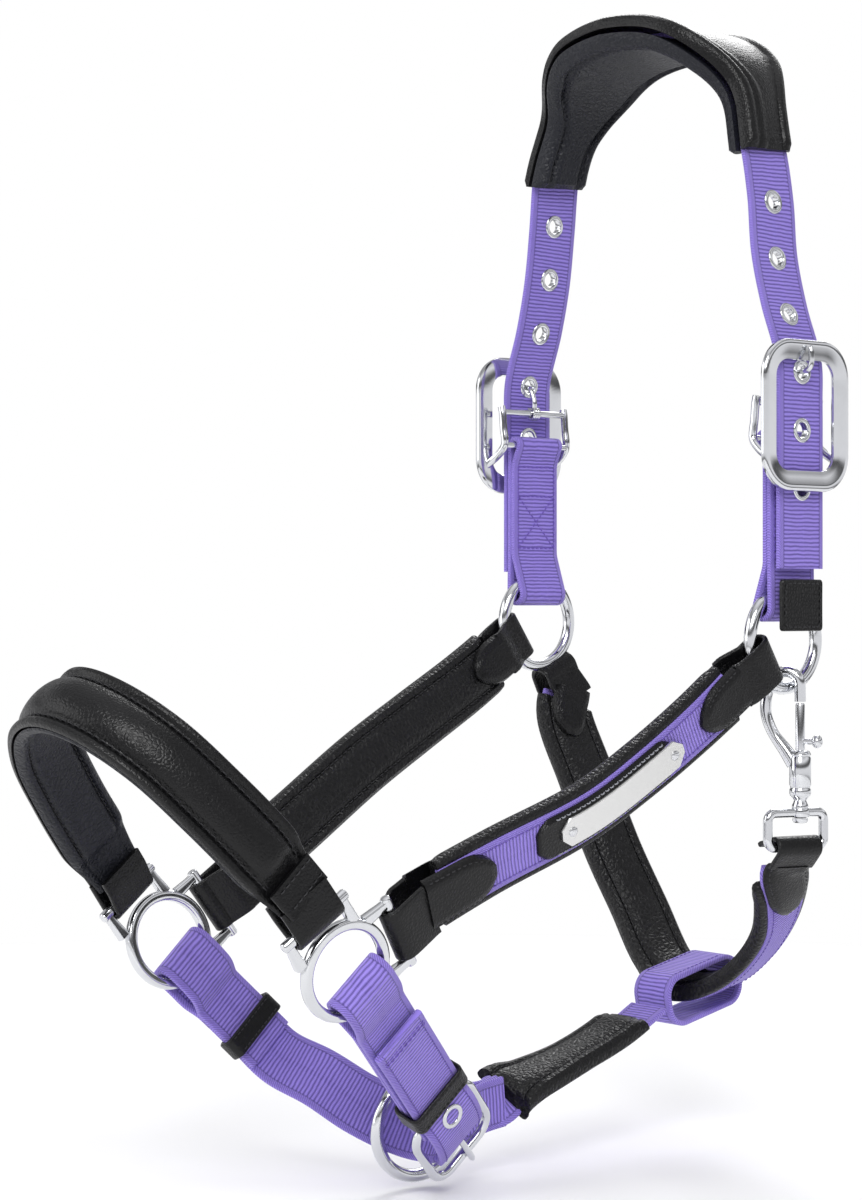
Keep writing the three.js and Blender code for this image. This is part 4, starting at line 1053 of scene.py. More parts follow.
def fitting_axes(y):
    """Origin, towards the tail, up the face and out of the face of a fitting."""
    return (eye_centre(y), vec(1, 0, 0), vec(0, y * math.sin(FIT_TILT), math.cos(FIT_TILT)),
            vec(0, y * math.cos(FIT_TILT), -math.sin(FIT_TILT)))


def fitting_point(y, angle, reach, shift, out=0.0):
    a = math.radians(angle)
    local = (reach * math.cos(a) - shift * math.sin(a), reach * math.sin(a) + shift * math.cos(a))
    return plane_point(fitting_axes(y), local, out)


def square_fitting(name, y):
    solid = Solid()
    axes = fitting_axes(y)
    circle = [(p[0], p[1]) for p in arc(0, 0, FIT_HOLE + FIT_RIM / 2, 0, 360, 97)[:-1]]
    section = rounded_box(FIT_RIM / 2, -FIT_THICK / 2, FIT_THICK / 2, 1.35, 3)
    loop_sweep(solid, circle, axes, section)
    for angle, low, high in ((NOSE_ANGLE, -13.5, 16.5), (CHEEK_ANGLE, -16.5, 13.5)):
        ends = [fitting_point(y, angle, FIT_BAR, shift) for shift in (low, high)]
        rod(solid, ends[0], ends[1], 2.0, 18, round_end=0.8)
        for shift in (low + 2.5, high - 2.5):
            arm(solid, y, angle, shift)
    piece(f"{name}_fitting", solid, [CHROME], "headcollar", [f"{name}_square_fitting"])


def arm(solid, y, angle, shift):
    """A cast arm from the round eye to a strap bar, thicker at the eye."""
    rows = []
    half = ARM_HALF
    inner = 13.8 if abs(shift) > 9 else 15.5
    steps = ((inner, half + 0.5, 1.7), (18, half + 0.2, 1.65), (21, half, 1.5), (24.4, half, 1.5))
    for reach, width, depth in steps:
        rows.append([fitting_point(y, angle, reach, shift + x, z)
                     for x, z in rounded_box(width, -depth, depth, 0.8, 2)])
    solid.grid(rows)


square_fitting("near", -1)
square_fitting("far", 1)


# ---- cheek straps ---------------------------------------------------------------------------------
CHEEK_POINTS = {
    "near": [(-24, -70, -250), (-45, -68.5, -265), (-70, -66.5, -281), (-97, -64, -296),
             (-138, -60, -311.5), (-169.5, -57, -324.3)],
    "far": [(-25, 70, -241), (-45, 68.5, -253), (-72, 66.5, -267.5), (-103, 63.5, -284),
            (-138, 60, -305), (-169.5, 57, -323.5)],
}
CHEEK_FACING = [(0, 1, -0.1), (0, 1, -0.22), (0, 1, -0.3), (0, 1, -0.35), (0, 1, -0.3), (0, 1, -0.2)]
CHEEK_START = 0.05


def padding_section():
    """Rolled edges beside the webbing's bed and a soft quilted middle underneath."""
    edge = PAD_WIDTH / 2
    bed = CHEEK_WIDTH / 2 + 0.35
    top = -WEB_HALF - GAP
    low = top - PAD_DEPTH
    roll = (edge - bed) / 2 + 0.9
    right = [(bed, top), (bed + 0.05, top + 0.9)]
    for a in np.linspace(2.3, 0, 9):
        right.append((edge - roll + roll * math.cos(a), top + 0.2 + 1.75 * math.sin(a)))
    right += [(edge, top - 1.6), (edge - 0.3, low + 2.6), (edge - 1.6, low + 0.9), (edge - 3.6, low + 0.5)]
    right += [(edge - 4.8, low + 1.35), (edge - 6.2, low + 0.35), (edge - 9.0, low)]
    return [(-x, y) for x, y in right[::-1]] + right


def padded_strap(name, route, start, end, node):
    solid = Solid()
    total = route.dist(end) - route.dist(start)
    s0 = route.dist(start)

    def thick(t):
        s = route.dist(t) - s0
        return 0.72 + 0.28 * float(smoothstep(min(s, total - s), 0, 5))

    sweep(solid, route, padding_section(), start, end, 1.8, thick=thick)
    low = -WEB_HALF - GAP - PAD_DEPTH
    for x in (-PAD_WIDTH / 2 + 4.8, PAD_WIDTH / 2 - 4.8):
        stitch_row(solid, route, x, low + 1.0, start + 0.01, end - 0.01, 1, 1.9, 2.8, out_side=-1, thick=0.4)
    piece(name, solid, [PADDING, THREAD], "headcollar", [node])


def edge_stitches(solid, route, x, start, end):
    """Fine purple thread beside both edges of a webbing strap."""
    for side in (-1, 1):
        stitch_row(solid, route, side * x, WEB_HALF, start, end, 1, 1.7, 2.4, thick=FINE_THREAD)


def sewn_webbing(name, route, start, end, node):
    solid = Solid()
    half = CHEEK_WIDTH / 2
    sweep(solid, route, rounded_box(half, -WEB_HALF, WEB_HALF, 0.8), start, end, 1.6)
    edge_stitches(solid, route, half - 2.4, start + 0.01, end - 0.01)
    piece(name, solid, [WEBBING, THREAD_PURPLE], "headcollar", [node])


def metal_fold(solid, at, along, face, width, eye, reach, thick, high, low, high_end, low_end):
    """A strap folded round metal: two legs joined by a round turn `reach` inside the metal's middle."""
    z = unit(np.cross(along, face))
    y = np.cross(z, along)
    axes = (np.asarray(at, float), unit(along), y, z)
    r = eye + thick / 2
    up, down = high + thick / 2, low - thick / 2
    if up < r:
        upper = [(high_end, up), (high_end * 0.75 + 2, up), (r + 5, up * 0.6 + r * 0.4), (r * 0.6, r)]
    else:
        upper = [(high_end, up), (high_end * 0.6, up), (r + 4, up), (0.6, r)]
    path = smooth_path(upper, 0.8)
    path += arc(-reach, 0, r, 90, 270, 18)
    path += smooth_path([(0.6, -r), (r + 4, down), (max(low_end * 0.7, r + 5), down), (low_end, down)], 0.8)
    ribbon(solid, thinned(path, 0.3), axes, width, thick)


def strap_leather(name, node, route, at, along, start, tip, width, eye, reach, face=None, high=FOLD_OUT,
                  inner_tip=None):
    """Leather that wraps a fitting and runs on over the webbing as a sewn, puffed tab."""
    solid = Solid()
    p, _, _, out = route.read(start)
    face = out if face is None else face
    leg = float(np.dot(p - at, along)) + 1.0
    metal_fold(solid, at, along, face, width, eye, reach, LEATHER, high, FOLD_IN, leg, leg)
    puffed_tab(solid, route, start, tip, width / 2, high, LEATHER)
    tab_stitches(solid, route, start, tip, width / 2, high, LEATHER, 1)
    if inner_tip is not None:
        puffed_tab(solid, route, start, inner_tip, width / 2, -FOLD_IN - 0.3, LEATHER + 0.2, face=-1)
    piece(name, solid, [LEATHER_BLACK, THREAD], "headcollar", [node])


def cheek(name):
    side = SIDES[name]
    y = side["y"]
    route = Route(CHEEK_POINTS[name], [(a, b * y, c) for a, b, c in CHEEK_FACING])
    sewn_webbing(f"{name}_cheek_web", route, CHEEK_START, 1 - CHEEK_START, f"{name}_cheek_webbing")
    padded_strap(f"{name}_cheek_pad", route, CHEEK_START, 1 - CHEEK_START, f"{name}_cheek_padding")
    p, away, _, _ = route.read(0)
    ring_at = p - away * (np.linalg.norm(p - side["ring"]) - RING_RADIUS)
    strap_leather(f"{name}_cheek_rear_leather", f"{name}_cheek_ring_leather", route, ring_at, away,
                  0, 0.2, 19, RING_WIRE + 0.9, 3.8, inner_tip=0.17)
    bar = fitting_point(y, CHEEK_ANGLE, FIT_BAR, -1.5)
    a = math.radians(CHEEK_ANGLE)
    axes = fitting_axes(y)
    along = axes[1] * math.cos(a) + axes[2] * math.sin(a)
    strap_leather(f"{name}_cheek_front_leather", f"{name}_cheek_bar_leather", route, bar, along,
                  1, 0.81, 20.4, 2.5, 0, inner_tip=0.86)
    return route


NEAR_CHEEK = cheek("near")
cheek("far")


# ---- name plate -----------------------------------------------------------------------------------
PLATE_LENGTH = 64
PLATE_HEIGHT = 12
PLATE_THICK = 1
PLATE_POINT = 4
PLATE_BEVEL = 0.3
PLATE_BASE = WEB_HALF + GAP
PLATE_LOW = PLATE_BASE + 1.7
PLATE_HIGH = PLATE_LOW + PLATE_THICK
BACKING_START = 0.31
BACKING_END = 0.72
BACKING_HALF = 8.5
RIVET_X = 27


def plate_point(route, x, y, z):
    """A place on the plate: x along the cheek from its middle, y across it, z out from the webbing."""
    p, _, side, out = route.read(route.share(route.dist(0.5) + x))
    return p + side * y + out * z


def rounded_outline(points, radius):
    """Rounds the corners of a plane outline."""
    result = []
    points = [np.asarray(p, float) for p in points]
    for i, corner in enumerate(points):
        before, after = points[i - 1], points[(i + 1) % len(points)]
        a = corner + unit(before - corner) * radius
        b = corner + unit(after - corner) * radius
        for f in np.linspace(0, 1, 5):
            result.append(tuple((1 - f) ** 2 * a + 2 * f * (1 - f) * corner + f * f * b))
    return result


def slab(solid, axes, outline, low, high, bevel):
    """A flat plate with softened edges from a plane outline."""
    outline = [np.asarray(p, float) for p in outline]
    centre = np.mean(outline, axis=0)

    def shrink(p):
        return p - unit(p - centre) * bevel

    levels = [(low, True), (low + bevel, False), (high - bevel, False), (high, True)]
    rows = [[plane_point(axes, shrink(p) if inset else p, z) for p in outline] for z, inset in levels]
    solid.grid(rows)


def plate_backing():
    """The leather under the plate: blunt at both ends, with thread along both edges."""
    route = NEAR_CHEEK
    backing = Solid()
    s0, s1 = route.dist(BACKING_START), route.dist(BACKING_END)
    base = PLATE_BASE
    rows = []
    middle = (s0 + s1) / 2
    half_length = (s1 - s0) / 2
    for f in np.sin(np.linspace(-math.pi / 2, math.pi / 2, 60)):
        s = middle + half_length * f
        left = half_length * (1 - abs(f))
        w = BACKING_HALF if left > 7 else 3.6 + 4.9 * math.sin(math.pi / 2 * left / 7) ** 0.8
        p, _, side, out = route.read(route.share(s))
        ring = []
        xs = np.linspace(-1, 1, 12)
        for x in xs:
            inset = min((1 - abs(x)) * w, left + 0.02)
            ring.append(p + side * x * w + out * (base + 0.2 + 1.4 * min(1.0, inset / 0.9) ** 0.5))
        ring += [p + side * x * w + out * base for x in xs[::-1]]
        rows.append(ring)
    backing.grid(rows)
    for x in (-7.2, 7.2):
        stitch_row(backing, route, x, base + 1.55, 0.345, 0.685, 1, 1.7, 2.5, thick=0.4)
    piece("plate_leather", backing, [LEATHER_BLACK, THREAD_PALE], "headcollar", ["plate_backing"])


def name_plate():
    rows = []
    shoulder = PLATE_HIGH - PLATE_BEVEL
    for x in np.linspace(-PLATE_LENGTH / 2, PLATE_LENGTH / 2, 49):
        h = PLATE_HEIGHT / 2 - PLATE_POINT + min(PLATE_POINT, PLATE_LENGTH / 2 - abs(x))
        section = ((-h, PLATE_LOW), (-h, shoulder), (-h + PLATE_BEVEL, PLATE_HIGH),
                   (h - PLATE_BEVEL, PLATE_HIGH), (h, shoulder), (h, PLATE_LOW))
        rows.append([plate_point(NEAR_CHEEK, x, y, z) for y, z in section])
    plate = Solid()
    plate.grid(rows)
    piece("plate_metal", plate, [BRIGHT], "headcollar", ["name_plate"])


def plate_rivets():
    dome = [(1.0, -0.6), (1.0, -0.1), (1.9, -0.05), (1.9, 0.25), (1.6, 0.6), (1.0, 0.9), (0.3, 1.0)]
    for label, x in (("front", RIVET_X), ("rear", -RIVET_X)):
        rivet = Solid()
        places = [plate_point(NEAR_CHEEK, x, 0, PLATE_HIGH + z) for _, z in dome]
        tube(rivet, places, [r for r, _ in dome], 20)
        piece(f"rivet_{label}", rivet, [CHROME], "headcollar", [f"plate_rivet_{label}"])


plate_backing()
name_plate()
plate_rivets()


# ---- noseband -------------------------------------------------------------------------------------
NOSE_FRONT = vec(-281, 0, -251.5)
NOSE_DOWN = vec(0.665, 0, -0.747)
NOSE_HALF = [(90, 56.2), (67, 53), (44, 46), (22, 36), (6, 19)]
NOSE_FACING = [(0, 1, 0.1), (0, 1, 0), (-0.1, 1, 0.12), (-0.25, 0.85, 0.3), (-0.5, 0.5, 0.6)]
NOSE_WIDTH = 28
NOSE_STITCH_X = 9.4
NOSE_END_THICK = 0.32


def nose_point(down, y):
    p = NOSE_FRONT + NOSE_DOWN * down
    return (p[0], y, p[2])


NOSE = Route(
    [nose_point(d, -y) for d, y in NOSE_HALF] + [nose_point(0, 0)]
    + [nose_point(d, y) for d, y in NOSE_HALF[::-1]],
    mirrored(NOSE_FACING) + [(-0.665, 0, 0.747)] + NOSE_FACING[::-1],
)


def nose_wide(t):
    return 0.76 + 0.24 * float(smoothstep(0.5 - abs(t - 0.5), 0, 0.1))


def nose_thin(t):
    full = float(smoothstep(0.5 - abs(t - 0.5), 0.052, 0.085))
    return NOSE_END_THICK + (1 - NOSE_END_THICK) * full


def nose_line(x):
    """A line of thread that draws in with the noseband's width."""
    return lambda t: x * nose_wide(t)


def noseband_roll():
    half = NOSE_WIDTH / 2
    outer = Solid()
    top = []
    for x in np.linspace(half, -half, 57):
        d = half - abs(x)
        edge = 0.9 + 1.5 * min(1.0, d / 1.0) ** 0.5
        piping = hump(d, 1.7, 1.7, 0.9)
        roll = 3.3 * (max(0.0, 1 - (x / 8.4) ** 2) ** 0.62)
        groove = -0.55 * math.exp(-((abs(x) - NOSE_STITCH_X) / 0.8) ** 2)
        top.append((x, edge - 0.2 + piping + roll + groove))
    section = [(half - 0.4, 0.35), (half - 0.05, 0.5)] + top + [(-half + 0.05, 0.5), (-half + 0.4, 0.35)]
    section += [(x, 0.35) for x in np.linspace(-half + 2, half - 2, 9)]
    sweep(outer, NOSE, section, 0, 1, 1.8, wide=nose_wide, thick=nose_thin)
    for x in (-NOSE_STITCH_X, NOSE_STITCH_X):
        stitch_row(outer, NOSE, nose_line(x), lambda t: 1.95 * nose_thin(t), 0.055, 0.945, 1, 2.0, 2.8,
                   thick=0.45)
    piece("noseband_roll", outer, [LEATHER_BLACK, THREAD], "headcollar", ["noseband_outer"])


def noseband_lining():
    half = NOSE_WIDTH / 2
    lining = Solid()
    low = []
    for x in np.linspace(-half, half, 41):
        d = half - abs(x)
        body = -1.2 - 3.6 * min(1.0, d / 7.0) ** 0.6
        groove = 0.9 * math.exp(-((d - 4.6) / 0.8) ** 2)
        low.append((x, body - hump(d, 2.1, 2.1, 1.3) + groove))
    bed = [(x, -0.4) for x in np.linspace(half - 2, -half + 2, 9)]
    section = [(half - 0.3, -0.4)] + bed + [(-half + 0.3, -0.4)] + low
    sweep(lining, NOSE, section, 0, 1, 1.8, wide=nose_wide, thick=nose_thin)
    for x in (-NOSE_STITCH_X, NOSE_STITCH_X):
        stitch_row(lining, NOSE, nose_line(x), lambda t: -3.6 * nose_thin(t), 0.07, 0.93, 1, 2.0, 2.8,
                   out_side=-1)
    looks = [LINING, THREAD]
    piece("noseband_lining_leather", lining, looks, "headcollar", ["noseband_lining"])


def noseband_end(name, share, tip):
    """Flat leather that joins one end of the noseband to its fitting's bar."""
    solid = Solid()
    y = SIDES[name]["y"]
    bar = fitting_point(y, NOSE_ANGLE, FIT_BAR, 1.5)
    a = math.radians(NOSE_ANGLE)
    axes = fitting_axes(y)
    bar_line = axes[1] * -math.sin(a) + axes[2] * math.cos(a)
    p, _, _, _ = NOSE.read(share)
    away = p - bar
    along = unit(away - bar_line * away.dot(bar_line))
    high = 5.6 * NOSE_END_THICK + 3 * GAP
    low = -5.5 * NOSE_END_THICK - 6 * GAP
    leg = float(away.dot(along)) + 2.5
    metal_fold(solid, bar, along, axes[3], 21, 2.4, 0, LEATHER, high - 0.2, low, leg, leg + 2)
    sweep(solid, NOSE, rounded_box(10.5, high - 0.1, high + LEATHER - 0.1, 0.8), share, tip, 1.5)
    for back in (0.012, 0.042):
        t = share + (back if share < 0.5 else -back)
        q, _, across, out = NOSE.read(t)
        points = [q + across * x + out * (high + LEATHER) for x in np.linspace(-9.4, 9.4, 8)]
        stitch_path(solid, points, [out] * 8, 1, 2.0, 2.9)
    node = f"noseband_end_{name}"
    piece(f"noseband_{name}_leather", solid, [LEATHER_BLACK, THREAD], "headcollar", [node])


noseband_roll()
noseband_lining()
noseband_end("near", 0, 0.05)
noseband_end("far", 1, 0.95)


# ---- chin strap -----------------------------------------------------------------------------------
CHIN_ALONG = {"near": unit(vec(0.696, 0.33, -0.637)), "far": unit(vec(0.62, -0.33, -0.71))}
EYE_RIM = FIT_HOLE + FIT_RIM / 2
CHIN_BAR = 92
CHIN_END = 123
CHIN_BAR_RADIUS = 1.6
CHIN_BUCKLE_WIDTH = 34
TAIL_N = CHIN_BAR_RADIUS + 0.4 + WEB + GAP + WEB_HALF
FOLD_EYE = 3.6
FOLD_REACH = 6.4
FOLD_DROP = -0.6
CHIN_EYELET = 0.75


def chin_axes(name):
    """Origin, along, out and across of the straight stack of straps below a fitting."""
    along = CHIN_ALONG[name]
    y = SIDES[name]["y"]
    face = fitting_axes(y)[3]
    in_plane = unit(along - face * along.dot(face))
    origin = eye_centre(y) + in_plane * EYE_RIM - along * EYE_RIM
    across = unit(np.cross(along, face))
    return origin, along, np.cross(across, along), across


NEAR_STACK = chin_axes("near")
FAR_STACK = chin_axes("far")


def stack_point(name, u, n):
    return plane_point(NEAR_STACK if name == "near" else FAR_STACK, (u, n))


CHIN = Route(
    [stack_point("far", EYE_RIM + 14, 1.2), stack_point("far", EYE_RIM + 30, 1.2),
     stack_point("far", EYE_RIM + 46, 1.2),
     vec(-152, 25, -397.5), vec(-139.5, 14, -408), vec(-128, 1, -415), stack_point("near", 114.5, -4),
     stack_point("near", 112, 2.2), stack_point("near", 103, 6), stack_point("near", 94, TAIL_N + 1.8),
     stack_point("near", 88, TAIL_N + 1.5), stack_point("near", 82, TAIL_N), stack_point("near", 58, TAIL_N),
     stack_point("near", 36, TAIL_N)],
    [FAR_STACK[2]] * 3
    + [vec(0.3, 0.85, -0.4), vec(0.5, 0.75, -0.4), vec(0.75, 0.45, -0.3), CHIN_ALONG["near"]]
    + [NEAR_STACK[2]] * 7,
)


def chin_webbing():
    solid = Solid()
    half = CROWN_WIDTH / 2 - 0.5
    length = CHIN.length()

    def hem(t):
        return 1.0 + 0.35 * float(smoothstep(CHIN.dist(t), length - 4.2, length - 3.2))

    sweep(solid, CHIN, rounded_box(half, -WEB_HALF, WEB_HALF, 0.8), 0, 1, 1.3, thick=hem)
    edge_stitches(solid, CHIN, half - 2.4, 0.02, 0.98)
    chin_hem_stitches(solid, half)
    ribbon(solid, thinned(far_fold_path()), FAR_STACK, 2 * half, WEB)
    piece("chin_strap_webbing", solid, [WEBBING, THREAD_PURPLE], "headcollar", ["chin_strap"])
    middle, line, _, direction = CHIN.read(CHIN_EYELET)
    metal = Solid()
    eyelet(metal, middle, line, direction)
    piece("chin_eyelet_metal", metal, [CHROME], "headcollar", ["chin_eyelet"])


def chin_hem_stitches(solid, half):
    """Two rows of thread across the hemmed tail."""
    for back in (3.6, 5.2):
        q, _, across, out = CHIN.read(CHIN.share(CHIN.length() - back))
        points = [q + across * x + out * (WEB_HALF + 0.25) for x in np.linspace(-half + 1.5, half - 1.5, 8)]
        stitch_path(solid, points, [out] * 8, 1, 1.7, 2.4, 0.35)


def far_fold_path():
    """The strap's turn round the far fitting, back on to itself."""
    r = FOLD_EYE + WEB_HALF
    return (
        line2((EYE_RIM + 40, 0.0), (EYE_RIM + 12, 0.0), 14)
        + smooth_path([(EYE_RIM + 11, -0.3), (EYE_RIM + 6, FOLD_DROP - 3.6), (EYE_RIM, FOLD_DROP - r)], 1.0)
        + arc(EYE_RIM - FOLD_REACH, FOLD_DROP, r, 270, 90, 18)
        + smooth_path([(EYE_RIM, FOLD_DROP + r), (EYE_RIM + 6, FOLD_DROP + 4.6), (EYE_RIM + 12, 1.6),
                       (EYE_RIM + 18, 1.2)], 1.0)
    )


def chin_chape():
    """The doubled strap from the near fitting to the buckle's inner bar."""
    solid = Solid()
    eye = CHIN_BAR_RADIUS + 0.4 + WEB_HALF
    r = FOLD_EYE + WEB_HALF
    layer = WEB_HALF + 0.03
    path = (arc(EYE_RIM - FOLD_REACH, FOLD_DROP, r, 90, 270, 18)
            + smooth_path([(EYE_RIM + 1, FOLD_DROP - r), (EYE_RIM + 5, -3.2), (EYE_RIM + 10, -layer)], 1.0)
            + line2((EYE_RIM + 12, -layer), (CHIN_BAR - 9, -layer), 24)
            + arc(CHIN_BAR, 0, eye, 215, 505, 18)
            + line2((CHIN_BAR - 9, layer), (EYE_RIM + 12, layer), 24)
            + smooth_path([(EYE_RIM + 10, layer), (EYE_RIM + 5, 3.0), (EYE_RIM + 1, FOLD_DROP + r)], 1.0))
    path = smooth_closed(thinned(path), 1)
    ribbon(solid, path, NEAR_STACK, CROWN_WIDTH - 1, WEB, closed=True)
    piece("chin_chape_webbing", solid, [WEBBING], "headcollar", ["chin_chape"])


def chin_buckle():
    wire = CHIN_BAR_RADIUS
    middle = (CHIN_END + CHIN_BAR) / 2
    solid = Solid()
    outline = rounded_rectangle(CHIN_END - CHIN_BAR, CHIN_BUCKLE_WIDTH - 2 * wire, 7.5, 10)
    path = [plane_point(NEAR_STACK, (middle + u, 0), x) for u, x in dense(outline, 1.5)]
    tube(solid, path, wire + 0.25, 16, closed=True)
    piece("chin_buckle_metal", solid, [CHROME], "chin_buckle", ["chin_buckle_frame"])


def chin_tongue():
    tongue = Solid()
    wire = CHIN_BAR_RADIUS
    length = CHIN_END - CHIN_BAR

    def place(x, y, z):
        return plane_point(NEAR_STACK, (CHIN_BAR + x, y), z)

    collar = wire + 1.15
    for x in (-0.9, 0, 0.9):
        ring = [place(collar * math.cos(a), collar * math.sin(a), x)
                for a in np.radians(np.linspace(35, 325, 20))]
        tube(tongue, ring, 0.62, 8)
    rest = wire + 0.35 + 1.15
    pin = smooth_path([place(collar, 0.2, 0), place(8, 1.0, 0), place(length - 8, rest - 0.5, 0),
                       place(length - 2, rest, 0), place(length + 3.2, rest - 0.1, 0)], 0.9)
    radii = [1.25] * len(pin)
    radii[-1], radii[-2] = 0.7, 1.05
    tube(tongue, pin, radii, 14)
    piece("chin_tongue_pin", tongue, [CHROME], "chin_tongue", ["chin_buckle_tongue"])


def keeper(name, node, stack, body, start, end, low, high):
    """A leather loop round the strap's layers, with rounded corners and pared edges."""
    solid = Solid()
    loose, wall = 0.4, 1.5
    x = CROWN_WIDTH / 2 - 0.5 + loose + wall / 2
    low, high = low - loose - wall / 2, high + loose + wall / 2
    origin, along, out, across = stack
    mid_n = (low + high) / 2
    axes = (origin + along * (start + end) / 2 + out * mid_n, across, out, along)
    path = dense(rounded_rectangle(2 * x, high - low, 2.2, 6), 1.5)
    ribbon(solid, path, axes, end - start, wall, closed=True, round_edge=0.65, count=5)
    for edge in (-1, 1):
        for face in (1, -1):
            y = face * ((high - low) / 2 + wall / 2)
            z = edge * ((end - start) / 2 - 1.3)
            points = [plane_point(axes, (c, y), z) for c in np.linspace(-x + 2.4, x - 2.4, 12)]
            stitch_path(solid, points, [out * face] * 12, 1, 1.5, 2.2, 0.35)
    piece(name, solid, [LEATHER_BLACK, THREAD], body, [node])


chin_webbing()
chin_chape()
chin_buckle()
chin_tongue()
keeper("keeper_loose", "chin_keeper_near", NEAR_STACK, "keeper", 75, 83.5, -WEB - 0.05, TAIL_N + WEB_HALF)
keeper("keeper_far", "chin_keeper_far", FAR_STACK, "headcollar", 42, 50, -WEB - 0.1, WEB + 0.1)


# ---- lead ring and ring tab -----------------------------------------------------------------------
LEAD_CENTRE = vec(-123.3, 1.4, -416.1)
LEAD_NORMAL = unit(vec(-0.094, -0.994, -0.053))


def lead_ring():
    solid = Solid()
    torus(solid, LEAD_CENTRE, LEAD_NORMAL, RING_RADIUS, RING_WIRE)
    piece("lead_ring_metal", solid, [CHROME], "lead_ring", ["lead_ring"])


def ring_tab():
    """The blank square of leather on the near cheek's ring."""
    solid = Solid()
    axes = (vec(0, -79.7, -220), vec(1, 0, 0), vec(0, 0, 1), vec(0, -1, 0))
    outline = dense(rounded_outline([(-11.4, -9.9), (11.4, -9.9), (11.4, 9.9), (-11.4, 9.9)], 1.6), 1.5)
    slab(solid, axes, outline, -0.95, 1.0, 0.35)
    inner = [(x * 0.86, y * 0.84) for x, y in outline[::3]]
    points = [plane_point(axes, p, 1.0) for p in inner]
    stitch_path(solid, points, [axes[3]] * len(points), 1, 1.8, 2.6)
    piece("ring_tab_leather", solid, [LEATHER_BLACK, THREAD], "headcollar", ["near_ring_tab"])


lead_ring()
ring_tab()


# ---- jowl strap -----------------------------------------------------------------------------------
def across_only(direction, normal):
    """The part of a direction that is square to a normal, as a unit vector."""
    normal = unit(normal)
    return unit(direction - normal * direction.dot(normal))


JOWL_PULL = across_only(vec(32.7, -5.8, 5.2), LEAD_NORMAL)
JOWL_BAR = LEAD_CENTRE + JOWL_PULL * RING_RADIUS
JOWL = Route(
    [JOWL_BAR + JOWL_PULL * 12, JOWL_BAR + JOWL_PULL * 18, vec(-81, 1, -409.5), vec(-68, 0, -406.5),
     vec(-44, 0, -400.5), vec(-24, 0, -393.5), vec(-0.8, 0, -381.9)],
    [(0, 1, 0.1), (0, 0.95, -0.2), (0.1, 0.6, -0.7), (0.15, 0.2, -1), (0.15, 0, -1), (0.2, 0, -1),
     (0.3, 0, -1)],
)
LOOP_CENTRE = vec(20, 0, -377)


def jowl_strap():
    solid = Solid()
    half = CHEEK_WIDTH / 2
    sweep(solid, JOWL, rounded_box(half, -WEB_HALF, WEB_HALF, 0.7), 0, 0.985, 1.3)
    edge_stitches(solid, JOWL, half - 2.2, 0.04, 0.96)
    face = JOWL.read(0)[3]
    axes = (JOWL_BAR, JOWL_PULL, face, np.cross(JOWL_PULL, face))
    r = 3.7 + WEB_HALF
    path = (line2((19, 0.0), (11, 0.0), 8) + smooth_path([(9, 0.5), (4, r - 0.4), (0, r)], 1.0)
            + arc(-3, 0, r, 90, 270, 18) + smooth_path([(0, -r), (4, -r + 0.6), (10, -2.2), (20, -2.2)], 1.0))
    ribbon(solid, thinned(path), axes, 2 * half, WEB)
    jowl_loop(solid)
    piece("jowl_strap_webbing", solid, [WEBBING, THREAD_PURPLE], "headcollar", ["jowl_webbing"])
    padded_strap("jowl_pad", JOWL, 0.3, 0.9, "jowl_padding")


def jowl_loop(solid):
    """The flat loop of webbing that the throat strap passes through."""
    tilt = math.radians(12)
    run, rise = vec(math.cos(tilt), 0, math.sin(tilt)), vec(-math.sin(tilt), 0, math.cos(tilt))
    loop_axes = (LOOP_CENTRE, run, rise, vec(0, 1, 0))
    loop = dense(rounded_rectangle(41, 19.2, 7.5, 10), 1.6)
    ribbon(solid, loop, loop_axes, 20, WEB, closed=True)
    for edge in (-7.8, 7.8):
        for face_y in (-1, 1):
            y = face_y * (9.6 + WEB_HALF)
            points = [plane_point(loop_axes, (c, y), edge) for c in np.linspace(-14, 14, 14)]
            stitch_path(solid, points, [rise * face_y] * 14, 1, 1.7, 2.4, FINE_THREAD)


jowl_strap()


# ---- throat strap ---------------------------------------------------------------------------------
SNAP_HOOKED = vec(1.2, -70.5, -251.9)
SNAP_SIDE = vec(math.cos(math.radians(60)), -math.sin(math.radians(60)), 0)
SNAP_BODY_A = 5.8
SNAP_AXIS = SNAP_HOOKED + SNAP_SIDE * SNAP_BODY_A
EYE_ALONG = vec(math.cos(math.radians(15)), -math.sin(math.radians(15)), 0)
EYE_TOP = -299.7
EYE_LOW = -313
EYE_WIDTH = 25.2
EYE_WIRE = 1.75
EYE_SHIFT = -2
EYE_BAR = vec(SNAP_AXIS[0], SNAP_AXIS[1], EYE_LOW) + EYE_ALONG * EYE_SHIFT
EYE_LEAVE = across_only(vec(0.5, 0.55, -0.66), EYE_ALONG)
THROAT_PULL = unit(vec(0.438, 0, -0.899))
THROAT_RING = vec(0, 70.5, -227.4) + THROAT_PULL * 26


def far_low(point):
    return vec(point[0], 70, point[2])


THROAT = Route(
    [far_low(THROAT_RING + THROAT_PULL * 8), vec(12, 68, -267), vec(18, 61, -293), vec(24.6, 51, -324.5),
     vec(28, 38, -349), vec(25, 20, -370), vec(22, 2, -379), vec(26, -16, -375), vec(27, -33, -363),
     vec(23, -48, -348), vec(14, -59, -334), EYE_BAR + EYE_LEAVE * 13, EYE_BAR + EYE_LEAVE * 7],
    [(0.2, 1, 0), (0.2, 1, -0.08), (0.25, 1, -0.2), (0.3, 0.9, -0.4), (0.3, 0.7, -0.7), (0.2, 0.35, -0.95),
     (0.2, 0, -1), (0.2, -0.4, -0.9), (0.25, -0.7, -0.7), (0.2, -0.9, -0.5), (0, -1, -0.45),
     (-0.25, -1, -0.4), (-0.25, -0.95, -0.8)],
)


